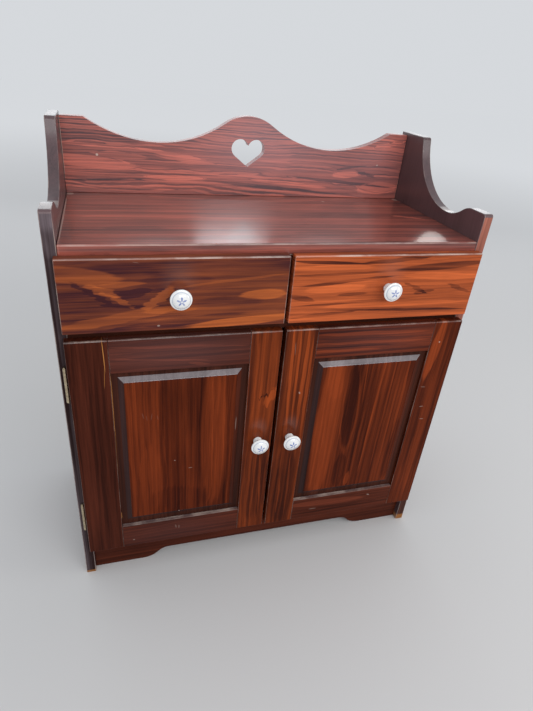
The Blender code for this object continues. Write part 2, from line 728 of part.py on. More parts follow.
def drawer(side):
    sign = SIDES[side]
    name = f"drawer_{side}"
    outer = sign * (HALF - FRONT_INSET)
    meeting = sign * DRAWER_CENTRE_GAP / 2
    middle = (outer + meeting) / 2
    height = (DRAWER_LOW + DRAWER_HIGH) / 2
    slide = pivot(f"{name}_slide", (middle, CASE_FRONT, height))
    front = block((outer, meeting), (FACE, -FRONT_GAP), (DRAWER_LOW, DRAWER_HIGH))
    front_board = piece(f"{name}_front", front, AMBER_PINE, slide)
    knob(name, front_board, middle, height, slide)
    box_outer = sign * (INNER - DRAWER_SIDE_GAP)
    box_inner = sign * (BOARD / 2 + DRAWER_SIDE_GAP)
    drawer_side(f"{name}_outer_side", box_outer, box_outer - sign * DRAWER_BOARD, slide)
    drawer_side(f"{name}_inner_side", box_inner, box_inner + sign * DRAWER_BOARD, slide)
    clear_outer = box_outer - sign * (DRAWER_BOARD + JOINT)
    clear_inner = box_inner + sign * (DRAWER_BOARD + JOINT)
    base_low = DRAWER_BOX_LOW + DRAWER_BASE_HEIGHT
    back_low = base_low + DRAWER_BASE + JOINT
    back = block(
        (clear_outer, clear_inner),
        (DRAWER_BOX_BACK - DRAWER_BOARD, DRAWER_BOX_BACK),
        (back_low, DRAWER_BOX_HIGH),
    )
    piece(f"{name}_back", back, RAW_PINE, slide, arris=FINE_ARRIS, segments=1)
    held = sign * (DRAWER_GROOVE - 2 * JOINT)
    base = block(
        (clear_outer + held, clear_inner - held),
        (JOINT - FRONT_GAP, DRAWER_BOX_BACK),
        (base_low, base_low + DRAWER_BASE),
    )
    piece(f"{name}_base", base, PLYWOOD, slide, arris=None)


def build():
    clear_scene()
    carcass()
    for side in SIDES:
        catch(side)
        door(side)
        drawer(side)


build()
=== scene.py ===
"""Looks of the stained-pine play cupboard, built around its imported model.

Metres throughout, in the model's own frame: +Z up, +X to the right of someone facing the doors, which
face -Y.
"""

import json
import math

import bmesh
import bpy
from mathutils import Matrix, Quaternion, Vector


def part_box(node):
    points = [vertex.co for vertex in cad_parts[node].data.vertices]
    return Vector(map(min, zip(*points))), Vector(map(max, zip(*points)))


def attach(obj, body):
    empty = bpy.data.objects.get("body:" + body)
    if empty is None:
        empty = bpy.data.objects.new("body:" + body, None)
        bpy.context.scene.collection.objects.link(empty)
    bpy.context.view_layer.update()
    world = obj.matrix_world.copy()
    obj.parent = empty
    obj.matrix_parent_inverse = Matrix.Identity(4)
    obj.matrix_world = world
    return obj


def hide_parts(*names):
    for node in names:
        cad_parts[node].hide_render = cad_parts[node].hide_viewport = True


MM = 0.001
SIDES = ("left", "right")

# ---------------------------------------------------------------- colours, linear

STAINS = {
    "deep": ((0.030, 0.0065, 0.0035), (0.150, 0.0330, 0.0160)),
    "shade": ((0.072, 0.0440, 0.0480), (0.130, 0.0690, 0.0740)),
    # A pale grey, painted reflection of the sky on up-facing tops and on the door panels' top bevels
    "gloss": ((0.110, 0.0800, 0.0860), (0.230, 0.1900, 0.2000)),
    "rim": ((0.022, 0.0100, 0.0100), (0.190, 0.1500, 0.1650)),
    # Dark brown: painted shade in the margin round a door panel's field, and the middle shelf's stain
    "margin": ((0.024, 0.0080, 0.0055), (0.095, 0.0270, 0.0160)),
    # Painted shade on the door panels' left and lower bevels
    "bevel": ((0.022, 0.0110, 0.0110), (0.062, 0.0290, 0.0270)),
    "door": ((0.034, 0.0055, 0.0025), (0.250, 0.0430, 0.0105)),
    "latch": ((0.044, 0.0090, 0.0045), (0.350, 0.0640, 0.0140)),
    "red": ((0.090, 0.0400, 0.0460), (0.720, 0.1920, 0.1380)),
    "top": ((0.070, 0.0255, 0.0245), (0.525, 0.1260, 0.0830)),
    "umber": ((0.054, 0.0155, 0.0190), (0.455, 0.1130, 0.0310)),
    "amber": ((0.060, 0.0150, 0.0110), (0.620, 0.1350, 0.0400)),
    "edge": ((0.060, 0.0220, 0.0160), (0.520, 0.1900, 0.1350)),
    "raw": ((0.370, 0.215, 0.098), (0.610, 0.420, 0.225)),
    "ply": ((0.380, 0.250, 0.140), (0.500, 0.360, 0.215)),
}
# Pale worn wood: real wear in nicks, and partly wear, partly painted highlight on arrises, rolled edges,
# ledges and tops
PALE_WEAR_AND_HIGHLIGHT = (0.62, 0.49, 0.42)
TAN_WOOD = (0.50, 0.21, 0.055)
# The pale grey of the painted sheen
SHEEN_GREY = (0.42, 0.31, 0.35)
PORCELAIN_WHITE = (0.86, 0.87, 0.87)
GLAZE_BLUE = (0.035, 0.105, 0.420)
GLAZE_LINE = (0.450, 0.530, 0.650)
BRASS_BRIGHT = (0.58, 0.48, 0.33)
BRASS_DULL = (0.42, 0.33, 0.22)
STEEL_BRIGHT = (0.58, 0.58, 0.59)
STEEL_DULL = (0.36, 0.35, 0.34)
PLASTIC_BROWN = (0.075, 0.036, 0.020)
PLASTIC_FLECK = (0.120, 0.062, 0.036)
# Painted shade in screw slots and countersinks, dark with paler flecks
SLOT_SHADE = (0.020, 0.014, 0.009)
SLOT_SHADE_FLECK = (0.060, 0.042, 0.026)

GLOSS_SOCKETS = ("Specular IOR Level", "Coat Weight", "Coat IOR", "Coat Roughness")
GLOSS = {
    "bare": (0.20, 0.0, 1.5, 0.16),
    "matt": (0.05, 0.0, 1.5, 0.16),
    "satin": (0.50, 0.25, 1.5, 0.16),
    "polished": (0.06, 1.0, 1.5, 0.15),
    "glassy": (0.50, 1.0, 1.75, 0.16),
    "waxed": (0.50, 0.45, 1.55, 0.16),
}

# The coat where hands have polished the wood
HANDLED_COAT = {"Coat IOR": 1.9, "Coat Roughness": 0.24}

# How each kind of board was sawn: the pith's place beside the board's centre and below its face, how
# far the pith climbs along the board, how much it sways, the width of a ring and its pale share, how
# strongly the rings and the fine streaks show, and how pale the ground between them is
CUT_FIELDS = ("across", "depth", "rise", "sway", "ring", "share", "rings", "streaks", "level")
CUTS = {
    "counter": (230 * MM, 55 * MM, 0.02, 7 * MM, 7.5 * MM, 0.42, 0.40, 2.4, 0.38),
    "splash": (-90 * MM, 60 * MM, 0.03, 14 * MM, 4.6 * MM, 0.70, 0.62, 1.60, 0.38),
    "flame": (140 * MM, 60 * MM, 0.04, 30 * MM, 13 * MM, 0.50, 0.20, 1.5, 0.22),
    "bright": (-140 * MM, 60 * MM, 0.03, 26 * MM, 11 * MM, 0.60, 0.30, 1.65, 0.58),
    "panel": (170 * MM, 40 * MM, 0.03, 14 * MM, 9.5 * MM, 0.55, 0.22, 1.45, 0.30),
    "stile": (90 * MM, 40 * MM, 0.03, 16 * MM, 10 * MM, 0.40, 0.22, 1.25, 0.28),
    "rail": (60 * MM, 30 * MM, 0.03, 12 * MM, 8 * MM, 0.30, 0.28, 1.5, 0.35),
    "side": (90 * MM, 45 * MM, 0.03, 20 * MM, 11 * MM, 0.40, 0.20, 1.5, 0.38),
    "veneer": (30 * MM, 80 * MM, 0.10, 60 * MM, 26 * MM, 0.55, 0.60, 1.6, 0.45),
}

# Noises in sawn pine: waves per metre along, across and through the board, seed, detail and roughness
WOOD_NOISES = {
    "sway": ((5.5, 13, 13), 0.0, 1.0, 0.5),
    "ripple": ((17, 62, 62), 3.7, 3.0, 0.5),
    "wander": ((3.2, 2, 2), 9.1, 1.0, 0.5),
    "fibre": ((9, 560, 560), 1.3, 4.0, 0.72),
    "thread": ((2.2, 105, 105), 5.9, 5.0, 0.74),
    "stream": ((1.3, 30, 30), 17.3, 2.0, 0.55),
    "blotch": ((5, 11, 11), 7.7, 3.0, 0.5),
}
RING_RIPPLE = 9 * MM
RING_BEND = 14 * MM

# Flames and dark streaks in the grain, as soft ovals on the board's face: middle across the face and up it,
# reach each way, turn in degrees and how much paler or darker; millimetres in the model's frame. On the
# latch stiles and the side panels some broad ovals are painted light high up and painted shade low down
FIGURES = {
    "drawer_left_front": (
        (-322, 641, 70, 14, -7, 0.36),
        (-300, 613, 38, 4, -32, -0.20),
        (-258, 592, 34, 3, -6, -0.24),
        (-284, 616, 26, 7, -24, 0.34),
        (-262, 625, 34, 5, 3, 0.30),
        (-262, 601, 30, 4, -30, 0.34),
        (-242, 611, 27, 8, 12, -0.20),
        (-205, 602, 32, 8, 38, 0.40),
        (-262, 573, 96, 9, 9, 0.30),
        (-190, 582, 46, 5, 2, 0.24),
        (-190, 560, 130, 8, 6, -0.16),
        (-70, 559, 100, 8, 4, 0.66),
        (-42, 604, 40, 9, 2, 0.55),
        (-90, 628, 88, 2.5, 6, 0.24),
        (-100, 642, 130, 12, 0, -0.08),
        (-98, 592, 60, 10, 0, -0.10),
        (-90, 610, 110, 60, 0, 0.10),
        (-280, 610, 110, 60, 0, -0.10),
        (-178, 628, 60, 14, 0, -0.10),
    ),
    "drawer_right_front": (
        (60, 654, 70, 3, -3, -0.44),
        (190, 657, 80, 4, 5, -0.34),
        (270, 644, 90, 7, 4, -0.36),
        (80, 634, 90, 2.5, 1, -0.34),
        (100, 621, 90, 3, 5, -0.36),
        (22, 593, 26, 5, -14, -0.28),
        (112, 598, 30, 3, 0, -0.30),
        (226, 605, 36, 3, -22, -0.26),
        (246, 597, 22, 4, 8, -0.32),
        (318, 602, 30, 4, -18, -0.28),
        (120, 583, 110, 2.5, 2, -0.26),
        (200, 566, 150, 3, -2, -0.30),
        (60, 562, 60, 3, 4, -0.24),
        (80, 609, 60, 7, 2, 0.26),
        (275, 626, 80, 7, -2, 0.26),
        (190, 576, 150, 5, 0, 0.20),
        (70, 645, 80, 5, 0, 0.20),
    ),
    "splash_back": (
        (-290, 735, 84, 12, -5, 0.42),
        (-240, 748, 50, 7, -4, 0.22),
        (-290, 784, 110, 18, -2, -0.16),
        (-262, 763, 80, 3.5, -2, 0.36),
        (-150, 754, 72, 4, -7, 0.42),
        (-120, 744, 60, 3, -6, 0.30),
        (-140, 711, 62, 5, 0, 0.48),
        (-180, 717, 140, 2, 0, -0.40),
        (-250, 704, 100, 2.5, 1, -0.40),
        (-100, 703, 120, 3, -1, 0.26),
        (-240, 690, 110, 2, -1, 0.30),
        (-60, 728, 110, 10, 0, -0.16),
        (-20, 748, 120, 46, 0, 0.14),
        (0, 806, 60, 3, 0, 0.30),
        (60, 697, 150, 4, -4, -0.34),
        (90, 706, 90, 4, -4, 0.26),
        (100, 744, 90, 3, -3, 0.24),
        (215, 727, 34, 7, 4, 0.48),
        (258, 730, 30, 3, -14, -0.34),
        (224, 741, 40, 2, 8, -0.30),
        (210, 712, 130, 3, -4, -0.40),
        (292, 702, 52, 13, 4, 0.42),
        (300, 788, 40, 5, 14, 0.26),
        (120, 688, 160, 3, -3, 0.30),
    ),
    "door_left_panel": (
        (-236, 330, 30, 170, 0, 0.05),
        (-226, 240, 22, 90, 0, 0.10),
        (-185, 310, 24, 220, 1, -0.12),
        (-182, 180, 60, 40, 0, -0.09),
        (-113, 320, 26, 170, 1, 0.28),
        (-116, 330, 2, 140, 1, 0.32),
        (-96, 360, 2, 120, 1, 0.28),
        (-210, 420, 2, 70, 0, 0.22),
    ),
    "door_right_panel": (
        (106, 310, 25, 210, 0, 0.42),
        (112, 440, 20, 60, 2, 0.12),
        (168, 310, 34, 210, 0, -0.09),
        (151, 350, 19, 108, 3, 0.40),
        (150, 356, 16, 108, 3, -0.54),
        (171, 425, 1.6, 60, 3, 0.34),
        (152, 200, 15, 50, 0, -0.14),
        (202, 330, 2.2, 150, -2, 0.42),
        (226, 330, 2, 140, -1, 0.30),
        (242, 330, 2, 130, 0, 0.28),
        (257, 360, 3, 110, 0, 0.32),
        (175, 172, 6, 20, 0, 0.40),
        (262, 240, 12, 90, 0, -0.14),
    ),
    "door_left_latch_stile": (
        # Painted light: paler high on the stile
        (-26, 430, 26, 130, 0, 0.14),
        (-14, 405, 9, 24, -28, 0.40),
        (-22, 410, 2, 22, -50, -0.40),
        # Painted shade: darker low on the stile
        (-30, 200, 30, 110, 0, -0.12),
        (-18, 190, 2.5, 80, 3, 0.24),
    ),
    "door_right_latch_stile": (
        (20, 430, 3, 120, 2, 0.50),
        (31, 440, 2.5, 110, 1, 0.42),
        (44, 430, 4, 120, 0, 0.42),
        (54, 400, 3, 130, 1, 0.34),
        # Painted shade: darker low on the stile
        (30, 180, 30, 110, 0, -0.10),
        (24, 190, 2, 90, 1, 0.22),
        (42, 180, 2, 90, 1, 0.22),
    ),
    "door_left_hinge_stile": (
        (-330, 300, 10, 230, 0, 0.14),
        (-300, 300, 14, 230, 0, -0.08),
    ),
    "door_right_hinge_stile": (
        (303, 480, 11, 74, -6, 0.56),
        (322, 300, 8, 230, 0, 0.18),
        (303, 300, 9, 130, 0, -0.16),
        (336, 300, 3, 200, 0, -0.16),
    ),
    "door_left_top_rail": (
        (-170, 518, 120, 2.5, -3, 0.36),
        (-205, 496, 90, 2, -5, 0.40),
        (-140, 484, 22, 2.5, -8, 0.34),
        (-110, 530, 60, 6, 0, -0.06),
    ),
    "door_right_top_rail": (
        (170, 522, 120, 4, -1, 0.36),
        (170, 504, 120, 3, -1, 0.40),
        (120, 490, 70, 3, -2, 0.40),
        (150, 513, 110, 2, -1, -0.20),
        (150, 497, 110, 2, -1, -0.20),
    ),
    "door_right_bottom_rail": (
        (140, 114, 96, 9, -2, 0.52),
        (190, 98, 90, 4, -3, -0.10),
    ),
    "side_panel_left": (
        # Painted light: paler high on the panel
        (-140, 765, 50, 70, 0, 0.30),
        # Painted shade: darker over the lower part of the panel
        (-140, 300, 50, 400, 0, -0.30),
    ),
    "side_panel_right": (
        # Painted light: paler high on the panel
        (-140, 690, 50, 70, 0, 0.16),
        # Painted shade: darker at the foot of the panel
        (-140, 20, 50, 110, 0, -0.34),
    ),
    "counter_top": (
        (-210, 5, 110, 9, 0, 0.26),
        (-60, 0, 120, 5, 1, 0.24),
        (130, 60, 150, 4, 3, 0.22),
        (-140, 135, 60, 5, -8, 0.26),
        (-120, 80, 40, 9, 0, -0.14),
        (150, 20, 90, 22, 0, -0.10),
        (290, 12, 34, 5, -24, 0.70),
        (-230, -60, 50, 14, 0, -0.13),
        (80, -85, 60, 16, 0, -0.12),
        (-230, -100, 110, 8, 0, 0.18),
        (120, -105, 120, 7, 0, 0.14),
    ),
}

# Where an oval starts to fade and where it is gone, as shares of its reach
FIGURE_EDGE = (0.80, 1.04)
MARK_EDGE = (0.68, 1.08)
SHEEN_EDGE = (0.0, 1.08)

# How far noise frays an oval along the grain and bends it across
FIGURE_DRIFT = (36 * MM, 7 * MM)
MARK_DRIFT = (1.2 * MM, 3 * MM)

# Between these shares of a board's thickness, a mark on its face fades out
SHOWN_DEPTH = (0.70, 0.75)

# Nicks, scratches and joints where pale wood shows, as ovals like those above
NICKS = {
    "splash_back": (
        (-281, 748, 2.4, 2.4, 0, 1.0),
        (282, 748, 1.8, 1.6, 0, 0.9),
        (-339.6, 760, 1.3, 62, 0, 0.60),
        (339.8, 706, 1.0, 30, 0, 0.40),
    ),
    "counter_top": (
        (155, 124, 3.0, 5.0, 20, 0.5),
        (-333, 150, 7, 8, 0, 0.6),
        (334, 150, 7, 8, 0, 0.6),
        (-337.4, 0, 1.4, 150, 0, 0.50),
    ),
    "drawer_left_front": (
        (-206, 557, 2.4, 1.6, 0, 0.4),
        (-236, 659, 5.0, 0.5, -10, 0.15),
    ),
    "door_left_panel": (
        (-183, 282, 1.4, 1.0, 0, 0.4),
        (-155, 260, 4.0, 0.7, 0, 0.3),
        (-175, 152, 1.2, 2.5, 0, 0.8),
        (-73, 350, 1.0, 16, 0, 0.22),
        (-235, 388, 0.9, 7.0, 12, 0.06),
        (-229, 383, 0.7, 6.0, 8, 0.05),
        (-221, 385, 0.8, 8.0, -8, 0.06),
        (-211, 382, 0.8, 6.0, 10, 0.05),
    ),
    "door_left_bottom_rail": (
        (-182, 112, 1.4, 5.0, 10, 0.14),
        (-176, 110, 1.2, 5.0, 0, 0.14),
        (-263, 93, 2, 1.5, 0, 0.3),
    ),
    "door_right_bottom_rail": (
        (236, 117, 4.0, 1.6, -24, 0.35),
        (108, 100, 9.0, 1.2, 0, 0.2),
    ),
    "door_right_latch_stile": (
        (41, 407, 1.5, 3.0, 20, 0.4),
        (22, 500, 0.6, 14, 3, 0.15),
    ),
    "door_right_hinge_stile": (
        (309, 346, 5.0, 1.0, 4, 0.28),
        (318, 314, 5.0, 1.0, -6, 0.28),
        (300, 394, 6.0, 1.2, -8, 0.15),
        (308, 494, 1.6, 1.6, 0, 0.6),
    ),
}

# A long crack and the worn feet, where tan wood shows
CRACKS = {
    "side_panel_left": ((-139, 2, 40, 5, 0, 0.5),),
    "side_panel_right": ((-139, 4, 40, 12, 0, 0.5),),
    "door_left_hinge_stile": (
        (-290.5, 510, 0.7, 32, 1.5, 0.9),
        (-291.5, 470, 0.5, 22, -3, 0.5),
    ),
    "door_left_panel": (
        (-282.4, 412, 0.7, 66, 0, 0.8),
        (-282.4, 320, 0.5, 60, 0, 0.35),
        (-282.4, 157, 1.0, 9, 0, 0.8),
    ),
}

# Painted sheen: pale greyish ovals that stand in for the glare of light on the polish, high on the
# splash-back and faint on the door rails
PAINTED_SHEEN = {
    "splash_back": (
        (30, 800, 190, 110, 0, 0.34),
        (10, 735, 190, 70, 0, 0.12),
        (240, 745, 190, 90, 0, 0.20),
        (-140, 760, 200, 70, 0, 0.05),
    ),
    "door_left_top_rail": ((-180, 507, 200, 60, 0, 0.07),),
    "door_right_top_rail": ((180, 507, 200, 60, 0, 0.05),),
    "door_left_bottom_rail": ((-180, 100, 200, 60, 0, 0.03),),
}

# The marks on the boards and the painted sheen: where they are, the colour that shows there, and how they
# fade out
MARKS_AND_SHEEN = ((NICKS, PALE_WEAR_AND_HIGHLIGHT, MARK_EDGE), (CRACKS, TAN_WOOD, MARK_EDGE), (PAINTED_SHEEN, SHEEN_GREY, SHEEN_EDGE))

# The size of an arris in the model and of the rolled edge that replaces it
FINE_ROLL = (0.6 * MM, 2.2 * MM)
BROAD_ROLL = (1.1 * MM, 2.2 * MM)

# A face is on an arris if its normal leans this much out of the board's face, or at a small corner
ARRIS_LEAN = (0.08, 0.92)
CORNER_LEAN = 0.15
CORNER_AREA = 9e-6

# Heights that part a side panel's front edge from its horn, and a panel's margin from its field
MID_HEIGHT = 0.5
HORN_HEIGHT = 0.8
FIELD_RISE = 3 * MM

# A screw's countersink and half slot as shares of its radius, and its slot's floor as one of its height
COUNTERSINK = 1.18
SLOT_HALF = 0.16
SLOT_FLOOR = 0.3
SCREW_DEPTH = 0.3 * MM
HINGE_SCREW = 2.0 * MM
HINGE_SCREW_INSET = 2.9 * MM
CATCH_SCREW = 2.6 * MM
CATCH_SCREW_SPREAD = 17 * MM
FLUSH = 0.1 * MM
PAN_HEIGHT = 0.5 * MM

# Pole plates and nails
POLE_INSET = 6 * MM
POLE_HALF_WIDTH = 0.8 * MM
POLE_PROUD = 0.12 * MM
POLE_DEPTH = 0.4 * MM
NAIL_RADIUS = 1.5 * MM
NAIL_FLAT = 1.1 * MM
NAIL_PROUD = 0.05 * MM
NAIL_INSET = 7 * MM

# The flower and the ring on a knob, as shares of its radius
FLOWER_REACH = 0.46
GLAZE_RING = 0.80

FLOOR_PALE = (0.66, 0.66, 0.66)
FLOOR_FAR = (0.995, 0.995, 0.995)
FLOOR_REACH = 14.0
FLOOR_FADE = (1.2, 7.0)

COUNTER_MIDDLE = (-0.08, -0.11, 0.68)
COUNTER_RIGHT = (0.25, -0.11, 0.68)
SPLASH_MIDDLE = (0, 0, 0.80)
CUPBOARD_MIDDLE = (0, 0, 0.45)

# Each lamp: where it is, what it points at, its width and height, its radiance, colour and shape
LAMPS = {
    "front_box": ((0.55, -2.55, 1.95), CUPBOARD_MIDDLE, 3.0, 1.1, 3.3, (1.0, 0.98, 0.97), "RECTANGLE"),
    "low_window": ((0.5, 2.4, 1.20), SPLASH_MIDDLE, 4.2, 0.45, 1.1, (0.95, 0.97, 1.0), "RECTANGLE"),
    "high_window": ((0.50, 2.38, 1.54), COUNTER_MIDDLE, 0.50, 0.09, 4.5, (0.92, 0.96, 1.0), "ELLIPSE"),
    "far_window": ((1.76, 2.03, 1.46), COUNTER_RIGHT, 0.26, 0.12, 3.0, (1.0, 0.93, 0.86), "ELLIPSE"),
    "side_box": ((2.3, -0.9, 1.1), CUPBOARD_MIDDLE, 0.9, 0.9, 2.4, (1.0, 0.86, 0.74), "RECTANGLE"),
}
SKY_COLOUR = (0.93, 0.96, 1.0, 1.0)
SKY_STRENGTH = 0.72

# The camera: its place, and in degrees how far it looks to the right, down, and leans
CAMERA_PLACE = (-0.2682, -0.8664, 0.9231)
CAMERA_TURN = 18.635
CAMERA_TILT = 29.95
CAMERA_LEAN = 5.56
CAMERA_LENS = 25.97
CAMERA_SENSOR = 36

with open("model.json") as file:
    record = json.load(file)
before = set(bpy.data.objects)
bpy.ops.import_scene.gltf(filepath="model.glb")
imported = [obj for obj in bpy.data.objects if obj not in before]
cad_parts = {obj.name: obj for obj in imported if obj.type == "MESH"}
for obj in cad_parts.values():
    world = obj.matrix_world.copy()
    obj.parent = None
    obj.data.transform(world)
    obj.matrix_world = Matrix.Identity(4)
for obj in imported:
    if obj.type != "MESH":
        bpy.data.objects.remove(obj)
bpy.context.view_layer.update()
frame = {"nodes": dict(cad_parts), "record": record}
NODES = frame["nodes"]
BODY_OF = {node: name for name, group in frame["record"]["behaviour"]["bodies"].items() for node in group}
SLOT_OF = {row["node"]: row["material_slot"] for row in frame["record"]["subparts"]}


# ---------------------------------------------------------------- node trees


class Graph:
    """Adds nodes to a tree. Each call wires its inputs and gives the new node's output."""

    def __init__(self, tree):
        self.tree = tree

    def node(self, kind, inputs, **settings):
        made = self.tree.nodes.new(kind)
        for name, value in settings.items():
            setattr(made, name, value)
        for socket, value in inputs.items():
            self.feed(made.inputs[socket], value)
        return made

    def feed(self, socket, value):
        if isinstance(value, bpy.types.NodeSocket):
            self.tree.links.new(value, socket)
        elif hasattr(value, "__len__") and len(value) == 3 and socket.type == "RGBA":
            socket.default_value = (*value, 1.0)
        else:
            socket.default_value = value

    def math(self, operation, *values):
        return self.node("ShaderNodeMath", dict(enumerate(values)), operation=operation).outputs[0]

    def vector(self, operation, *values):
        made = self.node("ShaderNodeVectorMath", dict(enumerate(values)), operation=operation)
        return made.outputs["Value" if operation == "LENGTH" else "Vector"]

    def split(self, vector):
        return self.node("ShaderNodeSeparateXYZ", {0: vector}).outputs

    def join(self, x, y, z):
        return self.node("ShaderNodeCombineXYZ", {0: x, 1: y, 2: z}).outputs[0]

    def step(self, value, low, high, first=0.0, last=1.0):
        """Eases from the first number at low to the last at high."""
        inputs = {"Value": value, "From Min": low, "From Max": high, "To Min": first, "To Max": last}
        return self.node("ShaderNodeMapRange", inputs, interpolation_type="SMOOTHSTEP").outputs["Result"]

    def mix(self, share, first, second, blend="MIX"):
        inputs = {0: share, 6: first, 7: second}
        made = self.node("ShaderNodeMix", inputs, data_type="RGBA", blend_type=blend)
        return made.outputs[2]

    def noise(self, place, stretch, seed=0.0, detail=2.0, roughness=0.5):
        """Smooth noise from about -0.5 to 0.5, with its own frequency along each axis."""
        stretched = self.vector("MULTIPLY", place, stretch)
        inputs = {"Vector": stretched, "W": seed, "Scale": 1.0, "Detail": detail, "Roughness": roughness}
        fac = self.node("ShaderNodeTexNoise", inputs, noise_dimensions="4D").outputs[0]
        return self.math("SUBTRACT", fac, 0.5)

    def chance(self, number, seed):
        """The same random number from 0 to 1 each time for one whole number and seed."""
        key = self.math("ADD", number, seed)
        return self.node("ShaderNodeTexWhiteNoise", {"W": key}, noise_dimensions="1D").outputs[0]

    def scaled(self, value, factor, offset=0.0):
        return self.math("MULTIPLY_ADD", value, factor, offset)

    def place(self):
        """Object coordinates, which are metres in the model's frame."""
        return self.node("ShaderNodeTexCoord", {}).outputs["Object"]

    def relief(self, shader, height, strength, distance):
        """Roughens a shader's normal by a height."""
        bump = self.node("ShaderNodeBump", {"Height": height, "Strength": strength, "Distance": distance})
        self.feed(shader.inputs["Normal"], bump.outputs[0])


PINE_SOCKETS = {
    "NodeSocketVector": ["Board"],
    "NodeSocketFloat": [field.capitalize() for field in CUT_FIELDS] + ["Figure", "Seed"],
    "NodeSocketColor": ["Dark", "Pale"],
}
PINE_RESULTS = {"Colour": "NodeSocketColor", "Roughness": "NodeSocketFloat", "Height": "NodeSocketFloat"}


def pine_group():
    """Sawn pine: growth rings round a wandering pith, fibres and uneven stain.

    Board coordinates run along the grain, across the board and through its thickness.
    """
    tree = bpy.data.node_groups.new("sawn pine", "ShaderNodeTree")
    for kind, names in PINE_SOCKETS.items():
        for name in names:
            tree.interface.new_socket(name, in_out="INPUT", socket_type=kind)
    for name, kind in PINE_RESULTS.items():
        tree.interface.new_socket(name, in_out="OUTPUT", socket_type=kind)
    graph = Graph(tree)
    given = tree.nodes.new("NodeGroupInput").outputs
    board = given["Board"]
    seed = given["Seed"]
    along, across, through = graph.split(board)

    noises = {}
    for name, (waves, offset, detail, roughness) in WOOD_NOISES.items():
        noises[name] = graph.noise(board, waves, graph.scaled(seed, 1.0, offset), detail, roughness)
    fibre, thread, blotch = noises["fibre"], noises["thread"], noises["blotch"]

    sway = graph.math("MULTIPLY", noises["sway"], given["Sway"])
    side = graph.math("SUBTRACT", across, given["Across"])
    side = graph.math("ADD", side, graph.math("MULTIPLY", noises["wander"], given["Sway"]))
    climb = graph.math("MULTIPLY", along, given["Rise"])
    below = graph.math("ADD", graph.math("ADD", given["Depth"], through), climb)
    below = graph.math("ADD", below, graph.scaled(sway, 1.6))
    radius = graph.vector("LENGTH", graph.join(side, below, 0.0))
    radius = graph.math("ADD", radius, graph.scaled(noises["ripple"], RING_RIPPLE))
    radius = graph.math("ADD", radius, graph.scaled(given["Figure"], RING_BEND))
    ring = graph.math("DIVIDE", radius, given["Ring"])
    number = graph.math("FLOOR", ring)
    phase = graph.math("FRACT", ring)

    luck = graph.chance(number, seed)
    share = graph.math("MULTIPLY", given["Share"], graph.scaled(luck, 1.1, 0.45))
    opening = graph.step(phase, 0.0, 0.16)
    closing = graph.step(graph.math("SUBTRACT", phase, share), -0.12, 0.14, 1.0, 0.0)
    ringed = graph.scaled(graph.math("MULTIPLY", opening, closing), 1.0, -0.45)
    strength = graph.scaled(graph.chance(number, graph.scaled(seed, 1.0, 31.0)), 0.9, 0.1)
    ringed = graph.math("MULTIPLY", graph.math("MULTIPLY", ringed, strength), given["Rings"])

    pale = graph.math("ADD", graph.math("ADD", given["Level"], given["Figure"]), ringed)
    pale = graph.math("ADD", pale, graph.math("MULTIPLY", thread, given["Streaks"]))
    pale = graph.math("ADD", pale, graph.scaled(noises["stream"], 0.55))
    pale = graph.math("ADD", pale, graph.scaled(blotch, 0.30))
    clamped = graph.node("ShaderNodeClamp", {0: pale, 1: 0.0, 2: 1.0}).outputs[0]
    colour = graph.mix(clamped, given["Dark"], given["Pale"])
    shade = graph.math("ADD", graph.scaled(fibre, 0.95, 1.0), graph.scaled(blotch, 0.45))
    grey = graph.node("ShaderNodeCombineColor", {0: shade, 1: shade, 2: shade}).outputs[0]
    colour = graph.mix(1.0, colour, grey, "MULTIPLY")

    roughness = graph.scaled(fibre, 0.10, 0.31)
    roughness = graph.math("ADD", roughness, graph.scaled(blotch, 0.16))
    height = graph.math("ADD", graph.scaled(fibre, 0.5), graph.scaled(clamped, 0.25))
    ends = tree.nodes.new("NodeGroupOutput").inputs
    for socket, value in zip(ends, (colour, roughness, height)):
        tree.links.new(value, socket)
    return tree


PINE = pine_group()


def new_material(name):
    """A material, its graph and its Principled shader."""
    material = bpy.data.materials.new(name)
    material.use_nodes = True
    return material, Graph(material.node_tree), material.node_tree.nodes["Principled BSDF"]


def board_axes(node, grain):
    """The three axes of a board: along the grain, across it and through its thickness."""
    low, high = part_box(node)
    size = high - low
    thickness = min(range(3), key=lambda axis: size[axis])
    along = "XYZ".index(grain)
    across = 3 - along - thickness
    return along, across, thickness


def board_place(graph, node, grain):
    """Object coordinates turned into board coordinates, from the board's own centre."""
    low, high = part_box(node)
    parts = graph.split(graph.vector("SUBTRACT", graph.place(), (low + high) / 2))
    return graph.join(*[parts[axis] for axis in board_axes(node, grain)])


def face_place(graph, node, grain, seed, fray, bend):
    """Object coordinates laid flat on a board's face, frayed along the grain and bent across it."""
    along, across, thickness = board_axes(node, grain)
    parts = graph.split(graph.place())
    flat = [parts[axis] for axis in range(3) if axis != thickness]
    still = graph.join(*flat, 0.0)
    stretch = (7, 190, 1) if along < across else (190, 7, 1)
    frayed = graph.scaled(graph.noise(still, stretch, seed + 40.0, 2.0), fray)
    bent = graph.scaled(graph.noise(still, (11, 11, 1), seed + 50.0, 2.0), bend)
    first, second = (frayed, bent) if along < across else (bent, frayed)
    return graph.join(graph.math("ADD", flat[0], first), graph.math("ADD", flat[1], second), 0.0)


